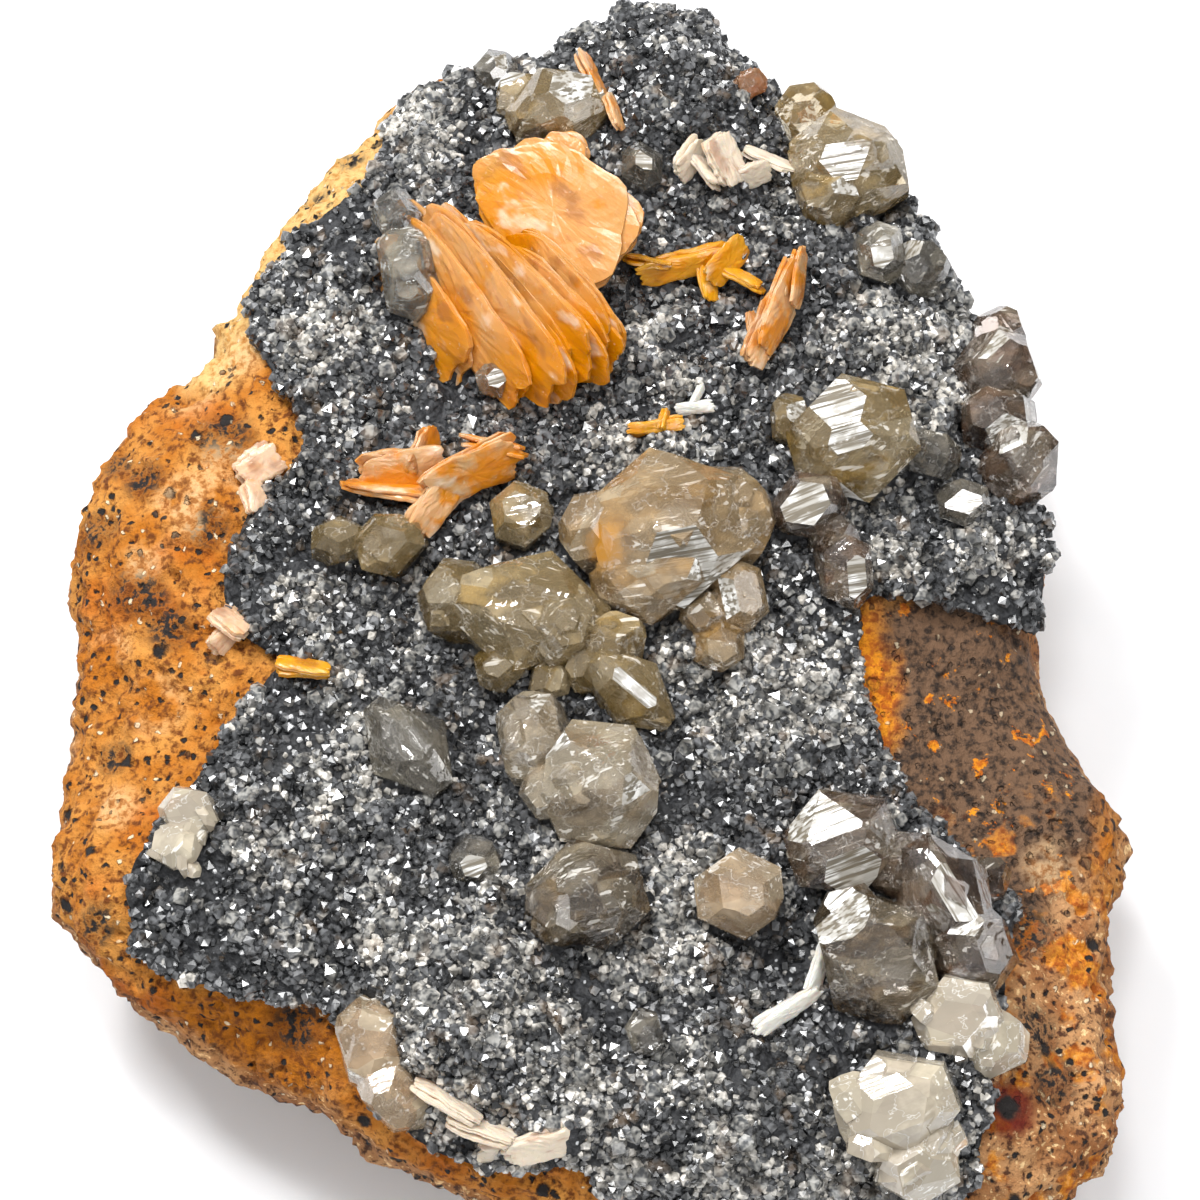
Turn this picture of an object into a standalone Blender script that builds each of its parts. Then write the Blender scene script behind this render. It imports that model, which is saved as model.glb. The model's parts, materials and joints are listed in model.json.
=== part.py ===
"""Cerussite crystals and barite blades on a dark drusy crust over ochre rock: one cabinet specimen.

It lies on its back on a flat base, crystals up, its long side along Y. Metres, +Z up. The tables give sizes in
millimetres, and places as they are seen in a photograph of the specimen, 1200 pixels square, taken from above
its near edge: a place is brought down its line of sight onto the specimen's own surface.
"""

import math
import random

import bmesh
import bpy
from mathutils import Matrix, Vector, geometry, noise

MM = 0.001
GAP = 0.3                      # kept between pieces that touch
SEAT_GAP = 0.46                # and under a piece, before its underside is made plainer
SLIVER = 0.02                  # edges under this are closed up

# The photograph that the places are read from.
PHOTO_MIDDLE = 600.0
PIXEL = 0.09                   # mm on the specimen for one pixel
EYE_DISTANCE = 380.0
EYE_ELEVATION = math.radians(68)

# The rock's main sizes.
TOP_LEVEL = 28.0               # the crust's general height over the base
RIM_INSET = 0.8                # from the widest outline in to the edge of the top
RIM_ROUNDING = 9.0             # how far in the top starts to fall towards its rim
RIM_FALL = 5.0
SHOULDER_FALL = 3.5
SIDE_HEIGHT = 12.5             # where the side is widest
TUCK_INSET = 4.0               # the underside, drawn in below the widest outline
TUCK_HEIGHT = 5.5
BASE_INSET = 13.0
ROCK_STEP = 3.4                # triangle edge on bare rock
HIDDEN_STEP = 7.6              # and under the crust
OUTLINE_STEP = 4.2
ROCK_SWELL = (9.0, 1.0)        # wavelength and height of its unevenness
ROCK_RIPPLE = (3.6, 0.5)
ROCK_SIDE_PUSH = 0.9           # how far the side is pushed in and out, and the underside
ROCK_TUCK_PUSH = 2.4
ROCK_SIDE_WAVE = 7.0
ROCK_ENTRY_DEPTH = 0.55        # share of a step that points keep from the crust's border

# The crust's sizes.
CRUST_DEPTH = 2.6
CRUST_EDGE_DEPTH = 1.6
CRUST_EDGE_BLEND = 5.0
CRUST_LIP = 1.0                # how far its edge stands out over the rock
CRUST_LIP_WAVE = 3.0
CRUST_EDGE_DROP = 0.2          # its outer edge under the ground's level
CRUST_STEP = 3.15
CRUST_LUMP = 5.0
CRUST_LUMP_RISE = 1.7
CRUST_LUMP_MIDDLE = 0.45
CRUST_GRAIN = 0.7
CRUST_GRAIN_WAVE = 0.77
CRUST_SINK = 6.0               # how deep the solid reaches that crystals are cut with
FOOTPRINT = 0.9                # share of a crystal's width under which the crust is left plain
SCATTER = 0.22                 # how far points stray from even rows, in steps

# The rock's widest outline, where it is seen, and how high the seen edge stands at the far and near ends.
OUTLINE_FAR_HEIGHT = 23.0
OUTLINE_NEAR_HEIGHT = 12.0
OUTLINE = [
    (590, 25), (615, 12), (660, 12), (700, 15), (725, 35), (735, 62), (757, 78), (775, 105), (795, 140),
    (850, 185), (905, 205), (928, 240), (945, 285), (965, 312), (985, 350), (1000, 400), (1010, 450),
    (1018, 490), (1030, 515), (1043, 560), (1041, 600), (1035, 640), (1037, 680), (1060, 735), (1095, 790),
    (1112, 812), (1125, 850), (1112, 890), (1105, 920), (1100, 950), (1103, 1000), (1105, 1045),
    (1113, 1080), (1117, 1120), (1108, 1155), (1092, 1195), (1050, 1228), (980, 1243), (900, 1246),
    (800, 1247), (700, 1245), (600, 1238), (520, 1224), (450, 1203), (400, 1177), (370, 1163), (345, 1132),
    (300, 1105), (240, 1085), (180, 1045), (120, 995), (75, 940), (50, 905), (60, 875), (75, 850),
    (72, 800), (70, 765), (78, 720), (76, 680), (84, 655), (78, 620), (70, 575), (75, 545), (85, 500),
    (112, 470), (115, 430), (150, 400), (190, 385), (218, 352), (212, 335), (240, 300), (253, 275),
    (270, 245), (285, 210), (300, 190), (340, 155), (370, 130), (385, 100), (415, 72), (440, 66), (475, 72),
    (525, 65), (555, 52), (580, 45),
]

# The crust's border: over the rock from the top left down to the near edge, up the right, and past the rim.
CRUST_BORDER = [
    (500, 30), (458, 66), (415, 84), (394, 106), (387, 132), (381, 160), (388, 187), (345, 206), (318, 226),
    (298, 250), (268, 264), (259, 292), (264, 330), (268, 352), (278, 385), (300, 410), (322, 434), (316, 458),
    (296, 482), (268, 506), (254, 532), (240, 560), (229, 592), (234, 625), (258, 652), (298, 660), (270, 692),
    (240, 740), (205, 786), (165, 836), (140, 866), (133, 900), (140, 940), (162, 970), (205, 962), (240, 984),
    (290, 990), (335, 1000), (352, 1022), (362, 1060), (385, 1100), (412, 1130), (470, 1152), (520, 1163),
    (565, 1152), (620, 1182), (700, 1202), (800, 1212), (900, 1212), (955, 1195), (972, 1150), (978, 1085),
    (985, 1040), (1002, 985), (1004, 930), (1000, 884), (960, 850), (905, 802), (880, 752), (862, 702),
    (848, 650), (846, 618), (868, 594), (900, 592), (960, 601), (1000, 605), (1060, 608), (1090, 560),
    (1070, 480), (1050, 400), (1020, 320), (1000, 280), (975, 230), (950, 180), (860, 140), (810, 85),
    (765, 40), (745, -10), (680, -30), (600, -30), (540, 10),
]

# Rises and hollows of the ground: place, height, and how far it reaches across and away.
SWELLS = {
    "top knob": (675, 95, 2.5, 10, 10),
    "ridge under the rosette": (520, 265, 2.0, 14, 9),
    "ridge along the right rim": (955, 350, 1.2, 8, 14),
    "middle swell": (660, 555, 2.6, 17, 13),
    "left shoulder": (330, 520, 1.0, 12, 16),
    "near left shoulder": (300, 830, 1.4, 12, 12),
    "row under the clear pair": (590, 800, 1.6, 7, 12),
    "near mound": (482, 1000, 4.6, 8.5, 11),
    "near right mound": (895, 985, 2.2, 9, 12),
    "near edge mound": (700, 1110, 1.4, 14, 6),
    "hollow beside the near mound": (598, 1012, -2.8, 3.6, 6),
    "hollow below the brown crystals": (790, 960, -3.0, 4.2, 4.5),
    "hollow right of the clear pair": (688, 792, -1.8, 3.6, 4),
    "dish between the mounds": (400, 640, -1.2, 7, 7),
    "dish at the far left": (445, 130, -1.3, 6, 6),
    "brown face": (992, 745, -4.8, 11, 15),
    "pocket at the near left": (255, 1012, -4.2, 8.5, 3.6),
    "ochre hollow": (150, 700, -1.6, 6, 12),
    "ochre bulge": (165, 560, 1.4, 8, 10),
    "ochre knee": (100, 880, 0.8, 6, 7),
    "shelf at the near right": (1050, 1000, -2.6, 6, 14),
}

# A piece's hidden underside, cut to the ground, is made plainer: faces that look down by this much, and the
# angle between them that is levelled out.
SEAT_SLOPE = -0.4
SEAT_FLATNESS = 11

# Cerussite habit: the inclination of each ring of faces from the crystal's c axis.
STEEP_PYRAMID = 54.7
LOW_PYRAMID = 35.5
FACE_JITTER = 0.09
LARGE_CRYSTAL = 8.5            # crystals over this show the low pyramid faces too

# Cerussite crystals. Each entry is one crystal: place, lift of its middle over the ground, sizes along its
# three axes, then how it is turned: spin about its own axis, tilt, and direction in plan. Crystals in one
# group have grown together.
CERUSSITE = {
    "cerussite_top_left": [(494, 70, 1.4, (3.8, 3.6, 3.8), (10, 25, 200))],
    "cerussite_top_grey": [
        (556, 112, 1.2, (9.6, 7.6, 7.0), (20, 22, 250)),
        (525, 98, 1.4, (5.0, 4.6, 5.0), (5, 30, 150)),
    ],
    "cerussite_top_round": [(641, 168, 1.2, (4.0, 4.0, 4.4), (0, 15, 300))],
    "cerussite_big_yellow": [
        (848, 168, 3.4, (10.4, 9.6, 9.6), (8, 18, 260)),
        (806, 112, 2.6, (5.0, 5.2, 5.4), (30, 25, 120)),
        (830, 196, 1.8, (6.0, 5.6, 6.4), (15, 35, 220)),
    ],
    "cerussite_right_rim_pair": [
        (880, 254, 1.8, (4.4, 5.6, 5.0), (12, 25, 280)),
        (922, 266, 2.0, (4.8, 4.6, 4.8), (40, 20, 20)),
    ],
    "cerussite_right_rim_cluster": [
        (1000, 332, 2.2, (4.0, 4.4, 4.6), (10, 20, 40)),
        (1003, 372, 2.8, (6.0, 7.4, 6.2), (25, 30, 330)),
        (995, 420, 2.0, (6.6, 6.2, 6.0), (5, 25, 210)),
        (1024, 458, 2.4, (6.6, 6.8, 6.0), (50, 30, 10)),
    ],
    "cerussite_large_striated": [
        (853, 437, 2.5, (11.4, 10.2, 7.6), (15, 24, 262)),
        (791, 421, 1.3, (3.4, 4.8, 4.2), (6, 28, 180)),
    ],
    "cerussite_dark_streaked": [(927, 452, 1.2, (4.0, 5.2, 4.2), (70, 35, 200))],
    "cerussite_white_facet": [(962, 502, 1.2, (5.0, 3.6, 3.8), (10, 30, 275))],
    "cerussite_scarp_chain": [
        (808, 506, 1.8, (6.4, 5.6, 5.2), (20, 20, 240)),
        (846, 572, 1.6, (4.4, 6.6, 5.4), (10, 35, 300)),
        (835, 540, 1.2, (4.0, 4.6, 4.6), (35, 15, 80)),
    ],
    "cerussite_centre_group": [
        (672, 528, 3.2, (14.6, 12.0, 10.0), (12, 14, 285)),
        (600, 530, 2.2, (6.6, 6.6, 7.0), (30, 25, 170)),
        (648, 577, 2.4, (10.5, 6.2, 7.0), (5, 35, 235)),
        (722, 516, 2.6, (8.4, 9.4, 8.0), (40, 22, 15)),
        (738, 596, 1.6, (4.4, 6.4, 5.0), (15, 25, 320)),
        (706, 617, 1.3, (3.8, 4.4, 4.0), (40, 30, 230)),
        (719, 645, 1.2, (4.4, 4.4, 4.0), (4, 22, 280)),
    ],
    "cerussite_small_round": [(521, 515, 1.8, (5.6, 5.0, 5.4), (10, 12, 260))],
    "cerussite_left_faceted": [
        (390, 543, 1.4, (6.4, 5.0, 5.2), (15, 22, 250)),
        (340, 540, 1.0, (5.0, 3.8, 3.6), (0, 10, 90)),
    ],
    "cerussite_middle_chain": [
        (530, 612, 2.4, (14.2, 8.0, 8.0), (-14, 12, 280)),
        (458, 600, 1.8, (6.2, 7.2, 6.4), (20, 25, 180)),
        (560, 626, 2.2, (7.4, 7.0, 7.4), (45, 20, 320)),
        (630, 690, 1.8, (9.6, 4.4, 4.8), (-37, 26, 300)),
        (612, 640, 1.8, (6.0, 4.4, 5.0), (10, 20, 60)),
        (592, 668, 1.2, (4.6, 4.0, 4.6), (30, 30, 200)),
        (500, 667, 1.2, (4.4, 4.2, 4.2), (10, 18, 250)),
        (550, 680, 1.0, (3.8, 3.2, 3.8), (50, 25, 300)),
    ],
    "cerussite_teardrop": [(408, 747, 1.4, (9.6, 5.6, 5.6), (-52, 10, 250))],
    "cerussite_clear_pair": [
        (600, 786, 2.8, (9.6, 10.6, 8.4), (25, 20, 280)),
        (534, 742, 1.6, (6.0, 9.4, 6.6), (12, 22, 160)),
        (552, 790, 1.6, (4.6, 5.6, 5.4), (35, 30, 220)),
    ],
    "cerussite_smoky_front": [
        (588, 897, 2.0, (10.2, 8.4, 7.2), (15, 20, 265)),
        (560, 908, 1.6, (5.6, 6.4, 6.0), (50, 35, 200)),
    ],
    "cerussite_small_bright": [(475, 861, 1.0, (4.4, 3.8, 3.8), (20, 28, 270))],
    "cerussite_peach": [(740, 896, 1.6, (7.2, 7.2, 6.4), (5, 15, 270))],
    "cerussite_brown_front": [(842, 842, 2.6, (10.2, 8.8, 8.2), (20, 22, 255))],
    "cerussite_ridged_brown": [
        (946, 900, 2.6, (12.6, 6.2, 7.4), (-58, 16, 300)),
        (974, 948, 2.0, (6.6, 8.0, 6.6), (25, 30, 330)),
        (905, 865, 2.0, (5.6, 5.2, 6.4), (10, 30, 140)),
        (985, 880, 1.8, (4.4, 4.0, 5.0), (40, 25, 40)),
    ],
    "cerussite_olive_front": [
        (878, 958, 2.6, (9.6, 10.8, 8.2), (12, 22, 265)),
        (850, 918, 2.0, (5.6, 5.6, 6.0), (35, 25, 150)),
    ],
    "cerussite_below_rosette": [(497, 379, 1.2, (4.0, 3.4, 3.8), (15, 20, 270))],
    "cerussite_beside_rosette": [
        (412, 270, 1.4, (5.6, 9.4, 6.4), (8, 20, 240)),
        (402, 222, 1.4, (4.2, 6.4, 5.4), (30, 25, 160)),
    ],
    "cerussite_near_left_plates": [
        (372, 1050, 0.6, (5.4, 8.6, 4.6), (8, 40, 235)),
        (395, 1095, 0.6, (5.0, 7.0, 4.6), (40, 45, 260)),
    ],
    "cerussite_hollow_chip": [(646, 1034, 0.8, (3.0, 4.0, 3.4), (20, 30, 290))],
}

# Barite blades, in the same way: place, lift, sizes (length, width, thickness), number of sides, and turn. A
# turn's tilt is how far the blade stands up from lying flat, and its direction is where its length points.
BARITE = {
    "barite_rosette": [
        (562, 212, 4.4, (16.0, 13.0, 2.4), 12, (0, 24, 322)),
        (512, 182, 3.6, (7.4, 6.6, 3.4), 7, (0, 30, 335)),
        (564, 154, 3.6, (4.6, 4.2, 5.6), 6, (0, 30, 350)),
    ],
    "barite_top_blade": [
        (592, 78, 1.8, (5.8, 2.6, 1.0), 7, (0, 62, 112)),
        (614, 112, 1.4, (4.4, 1.9, 0.8), 6, (0, 55, 105)),
    ],
    "barite_brown_knob": [(749, 84, 1.0, (2.8, 2.6, 2.4), 7, (0, 30, 40))],
    "barite_cream_plates": [
        (727, 160, 1.9, (5.4, 4.2, 1.2), 5, (40, 38, 82)),
        (690, 158, 1.4, (4.6, 3.0, 1.0), 6, (0, 60, 60)),
        (706, 172, 1.2, (4.4, 2.6, 1.0), 5, (0, 50, 125)),
        (768, 160, 1.5, (5.6, 2.4, 0.9), 6, (0, 48, 155)),
        (752, 176, 1.2, (4.0, 2.8, 0.9), 5, (0, 62, 20)),
    ],
    "barite_yellow_cluster": [
        (690, 264, 1.4, (9.6, 3.0, 1.2), 7, (0, 52, 12)),
        (726, 262, 2.0, (5.6, 3.4, 1.0), 6, (0, 60, 48)),
        (742, 278, 1.6, (4.6, 2.2, 0.9), 5, (0, 50, 150)),
        (650, 262, 1.2, (5.0, 2.0, 0.9), 5, (0, 55, 170)),
        (708, 282, 1.2, (4.4, 2.2, 0.9), 5, (0, 45, 100)),
    ],
    "barite_fan": [
        (780, 305, 2.4, (10.6, 3.6, 1.4), 7, (0, 58, 68)),
        (768, 328, 2.0, (8.2, 3.4, 1.3), 6, (0, 46, 62)),
        (796, 278, 2.4, (6.4, 2.8, 1.2), 6, (0, 66, 80)),
        (758, 335, 1.2, (5.2, 2.2, 1.0), 6, (0, 40, 100)),
    ],
    "barite_orange_scrap": [
        (655, 426, 0.9, (5.6, 1.4, 0.8), 6, (0, 40, 12)),
        (664, 420, 1.1, (2.4, 1.2, 0.7), 5, (0, 60, 75)),
    ],
    "barite_pale_scrap": [
        (694, 408, 0.9, (4.0, 1.2, 0.8), 5, (0, 40, 8)),
        (696, 396, 1.1, (2.6, 1.0, 0.7), 5, (0, 60, 60)),
    ],
    "barite_peach_cluster": [
        (470, 470, 2.6, (11.0, 4.6, 1.6), 7, (0, 60, 28)),
        (440, 500, 1.9, (8.2, 4.0, 1.4), 6, (0, 48, 52)),
        (402, 470, 1.7, (8.4, 4.4, 1.2), 6, (0, 50, 8)),
        (388, 490, 1.3, (8.8, 2.8, 1.1), 6, (0, 42, 172)),
        (495, 446, 2.4, (6.2, 3.2, 1.2), 6, (0, 64, 168)),
        (424, 453, 1.8, (5.4, 3.4, 1.1), 5, (0, 53, 70)),
    ],
    "barite_ochre_plates": [
        (258, 466, 0.6, (4.8, 3.8, 1.3), 6, (0, 30, 35)),
        (255, 498, 0.6, (3.4, 2.6, 1.2), 5, (0, 35, 100)),
    ],
    "barite_left_plates": [
        (232, 622, 0.7, (4.0, 3.2, 1.2), 6, (0, 40, 140)),
        (222, 640, 0.6, (2.8, 2.6, 1.0), 5, (0, 50, 50)),
    ],
    "barite_orange_tongue": [(302, 668, 0.9, (5.4, 2.0, 1.3), 6, (0, 35, 175))],
    "barite_white_blade": [
        (819, 964, 1.8, (6.6, 1.7, 1.0), 6, (0, 58, 72)),
        (787, 1010, 1.6, (7.2, 1.6, 1.0), 6, (0, 50, 32)),
    ],
    "barite_near_edge_plates": [
        (446, 1103, 1.4, (7.4, 3.2, 1.3), 6, (0, 58, 148)),
        (482, 1130, 1.4, (6.8, 3.0, 1.2), 6, (0, 50, 160)),
        (545, 1145, 1.2, (7.6, 3.0, 1.2), 7, (0, 52, 20)),
        (510, 1148, 1.0, (6.2, 2.8, 1.1), 5, (0, 60, 5)),
    ],
}

# The rosette's blades, hung from the ridges that are seen, from left to right: place, lift, length, direction.
# Its round disc and orange blocks are in the table above.
ROSETTE_WIDTH = 8.5
ROSETTE_THICKNESS = 2.1
ROSETTE_STAND = 60
ROSETTE_BLADE_SIDES = 7
ROSETTE = [
    (440, 280, 3.4, 16.5, -56),
    (481, 277, 5.6, 23.5, -57),
    (508, 272, 7.0, 24.0, -54),
    (526, 286, 6.8, 19.0, -52),
    (545, 274, 7.6, 21.0, -50),
    (567, 276, 7.2, 16.0, -47),
    (581, 268, 7.2, 16.0, -50),
]

THICK_BLADE = 1.45             # blades over this have a rim thinner than their middle
BLADE_RIM = 0.76
BLADE_SQUARENESS = 2.8
BLADE_UNEVENNESS = (0.88, 1.08)
LUMP_UNEVENNESS = 0.12

# White lumps of calcite: place, lift, sizes.
CALCITE = {
    "calcite_left_patch": [
        (188, 815, 0.8, (4.8, 4.8, 2.6)),
        (174, 846, 0.7, (4.0, 5.0, 2.4)),
    ],
    "calcite_front_lump": [
        (958, 1018, 1.8, (7.4, 6.2, 5.4)),
        (990, 1040, 1.4, (5.6, 5.0, 4.6)),
    ],
    "calcite_near_lumps": [
        (897, 1106, 1.6, (10.4, 8.4, 6.4)),
        (915, 1150, 1.2, (8.4, 6.4, 5.0)),
    ],
}

# Where two pieces would meet, the first is cut back around the second.
YIELDS = [
    ("cerussite_beside_rosette", "barite_rosette"),
    ("cerussite_below_rosette", "barite_rosette"),
    ("calcite_front_lump", "cerussite_ridged_brown"),
    ("calcite_front_lump", "cerussite_olive_front"),
    ("cerussite_olive_front", "cerussite_ridged_brown"),
    ("cerussite_ridged_brown", "cerussite_brown_front"),
    ("cerussite_olive_front", "cerussite_brown_front"),
    ("barite_cream_plates", "cerussite_big_yellow"),
    ("barite_near_edge_plates", "cerussite_near_left_plates"),
    ("barite_white_blade", "cerussite_olive_front"),
    ("cerussite_top_grey", "barite_rosette"),
    ("barite_top_blade", "cerussite_top_grey"),
    ("cerussite_left_faceted", "barite_peach_cluster"),
    ("cerussite_dark_streaked", "cerussite_large_striated"),
    ("cerussite_dark_streaked", "cerussite_white_facet"),
    ("cerussite_scarp_chain", "cerussite_large_striated"),
    ("cerussite_middle_chain", "cerussite_centre_group"),
    ("cerussite_middle_chain", "cerussite_clear_pair"),
    ("cerussite_smoky_front", "cerussite_clear_pair"),
    ("barite_yellow_cluster", "barite_rosette"),
]

# Colours as seen, with roughness and metallic value.
FINISHES = {
    "matrix_rock": ((0.62, 0.36, 0.12), 0.9, 0.0),
    "drusy_crust": ((0.09, 0.09, 0.10), 0.35, 0.1),
    "cerussite": ((0.62, 0.58, 0.46), 0.08, 0.0),
    "barite": ((0.88, 0.58, 0.30), 0.4, 0.0),
    "calcite": ((0.90, 0.86, 0.78), 0.5, 0.0),
}

EYE = Vector((0, -math.cos(EYE_ELEVATION) * EYE_DISTANCE, TOP_LEVEL + math.sin(EYE_ELEVATION) * EYE_DISTANCE))


def at_height(place, height):
    """The point at a height over the base that is seen at a place in the photograph."""
    across = (place[0] - PHOTO_MIDDLE) * PIXEL / EYE_DISTANCE
    up = (PHOTO_MIDDLE - place[1]) * PIXEL / EYE_DISTANCE
    cosine = math.cos(EYE_ELEVATION)
    sine = math.sin(EYE_ELEVATION)
    sight = Vector((across, cosine + up * sine, up * cosine - sine))
    return EYE + sight * ((height - EYE.z) / sight.z)


def seen_height(place):
    """How high over the base the rock's outline stands where the photograph shows it."""
    share = place[1] / (2 * PHOTO_MIDDLE)
    return OUTLINE_FAR_HEIGHT + (OUTLINE_NEAR_HEIGHT - OUTLINE_FAR_HEIGHT) * share


def even_loop(points, step):
    """A closed loop through the given points, with new points at even steps along it."""
    lengths = [(b - a).length for a, b in zip(points, points[1:] + points[:1])]
    total = sum(lengths)
    count = round(total / step)
    found = []
    segment = 0
    passed = 0.0
    for i in range(count):
        target = total * i / count
        while passed + lengths[segment] < target:
            passed += lengths[segment]
            segment += 1
        share = (target - passed) / lengths[segment]
        found.append(points[segment].lerp(points[(segment + 1) % len(points)], share))
    return found


def inside(loop, x, y):
    """Whether a point lies inside a closed loop, in plan."""
    crossings = False
    for a, b in zip(loop, loop[1:] + loop[:1]):
        if (a.y > y) != (b.y > y) and x < a.x + (b.x - a.x) * (y - a.y) / (b.y - a.y):
            crossings = not crossings
    return crossings


def distance_to(loop, x, y):
    """How far a point is from a closed loop, in plan."""
    best = 1e9
    for a, b in zip(loop, loop[1:] + loop[:1]):
        run_x = b.x - a.x
        run_y = b.y - a.y
        share = ((x - a.x) * run_x + (y - a.y) * run_y) / (run_x * run_x + run_y * run_y)
        share = min(1.0, max(0.0, share))
        best = min(best, math.hypot(x - a.x - run_x * share, y - a.y - run_y * share))
    return best


def drawn_in(loop, amount):
    """A loop moved towards the middle of the rock by an amount."""
    return [Vector((p.x, p.y, p.z)) * ((p.xy.length - amount) / p.xy.length) for p in loop]


WIDEST = even_loop([at_height(place, seen_height(place)) for place in OUTLINE], OUTLINE_STEP)
RIM = drawn_in(WIDEST, RIM_INSET)
BORDER = even_loop([at_height(place, TOP_LEVEL - 2) for place in CRUST_BORDER], ROCK_STEP)
SWELL_SPOTS = [(at_height((u, v), TOP_LEVEL), rise, rx, ry) for u, v, rise, rx, ry in SWELLS.values()]


def ground(x, y):
    """Height of the specimen's surface in plan, before its small lumps: rises, hollows and the falling rim."""
    height = TOP_LEVEL
    for spot, rise, reach_x, reach_y in SWELL_SPOTS:
        height += rise * math.exp(-((x - spot.x) / reach_x) ** 2 - ((y - spot.y) / reach_y) ** 2)
    inward = distance_to(RIM, x, y) if inside(RIM, x, y) else 0.0
    if inward < RIM_ROUNDING:
        height -= RIM_FALL * (1 - inward / RIM_ROUNDING) ** 2
    return height


def rock_top(x, y):
    """Height of the rock's own top, which lies deeper where the crust covers it."""
    depth = CRUST_EDGE_DEPTH
    if inside(BORDER, x, y):
        depth += (CRUST_DEPTH - CRUST_EDGE_DEPTH) * min(1.0, distance_to(BORDER, x, y) / CRUST_EDGE_BLEND)
    height = ground(x, y) - depth
    for wave, rise in (ROCK_SWELL, ROCK_RIPPLE):
        height += rise * noise.noise(Vector((x, y, 11 * wave)) / wave)
    return height


def crust_top(x, y):
    """Height of the crust: rounded lumps, each rough with crystals."""
    lump = noise.voronoi(Vector((x, y, 9.0)) / CRUST_LUMP)[0][0]
    grain = noise.noise(Vector((x, y, 55.0)) / CRUST_GRAIN_WAVE)
    return ground(x, y) + CRUST_LUMP_RISE * (CRUST_LUMP_MIDDLE - lump) + CRUST_GRAIN * grain


def on_ground(place, lift):
    """The point over the specimen's surface, by a lift, that is seen at a place in the photograph."""
    spot = at_height(place, TOP_LEVEL + lift)
    for _ in range(10):
        spot = at_height(place, 0.5 * spot.z + 0.5 * (ground(spot.x, spot.y) + lift))
    return spot


def scattered(loop, step, keep_off, seed, wanted):
    """Points at about even steps inside a loop, in staggered rows with a little chance."""
    chance = random.Random(seed)
    low_x = min(p.x for p in loop)
    high_x = max(p.x for p in loop)
    low_y = min(p.y for p in loop)
    high_y = max(p.y for p in loop)
    row_step = step * math.sqrt(3) / 2
    points = []
    for row in range(int((high_y - low_y) / row_step) + 1):
        for column in range(int((high_x - low_x) / step) + 2):
            x = low_x + (column + 0.5 * (row % 2) + chance.uniform(-SCATTER, SCATTER)) * step
            y = low_y + (row + chance.uniform(-SCATTER, SCATTER)) * row_step
            if not inside(loop, x, y) or distance_to(loop, x, y) < keep_off:
                continue
            if wanted(x, y):
                points.append((x, y))
    return points


def tiled(loop, points, lines):
    """Triangles that fill a loop in plan through the given points, and along the given lines."""
    corners = [Vector((p.x, p.y)) for p in loop]
    edges = [(i, (i + 1) % len(loop)) for i in range(len(loop))]
    for line in lines:
        first = len(corners)
        corners += [Vector((p.x, p.y)) for p in line]
        edges += [(first + i, first + (i + 1) % len(line)) for i in range(len(line))]
    corners += [Vector(p) for p in points]
    outline = list(range(len(loop)))
    found = geometry.delaunay_2d_cdt(corners, edges, [outline], 1, 1e-4)
    places = found[0]
    faces = []
    for face in found[2]:
        middle = sum((places[i] for i in face), Vector((0, 0))) / len(face)
        if inside(loop, *middle):
            faces.append(face)
    return places, faces


def new_object(name, shape, collection):
    """An object with the finished shape as its mesh."""
    mesh = bpy.data.meshes.new(name)
    shape.to_mesh(mesh)
    shape.free()
    piece = bpy.data.objects.new(name, mesh)
    collection.objects.link(piece)
    return piece


def add_ring(shape, loop):
    """One ring of corners, in metres, from a loop in millimetres."""
    return [shape.verts.new(p * MM) for p in loop]


def join_rings(shape, upper, lower):
    """The strip of faces between two rings, wound to face outwards."""
    for i in range(len(upper)):
        j = (i + 1) % len(upper)
        shape.faces.new((upper[i], upper[j], lower[j], lower[i]))


def roughened(loop, amount, phase):
    """A loop pushed in and out a little, as broken rock is."""
    moved = []
    for p in loop:
        push = 1 + amount * noise.noise(Vector((p.x, p.y, phase)) / ROCK_SIDE_WAVE) / p.xy.length
        rise = 0.6 * amount * noise.noise(Vector((p.x, p.y, phase + 30)) / ROCK_SIDE_WAVE)
        moved.append(Vector((p.x * push, p.y * push, p.z + rise)))
    return moved


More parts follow.
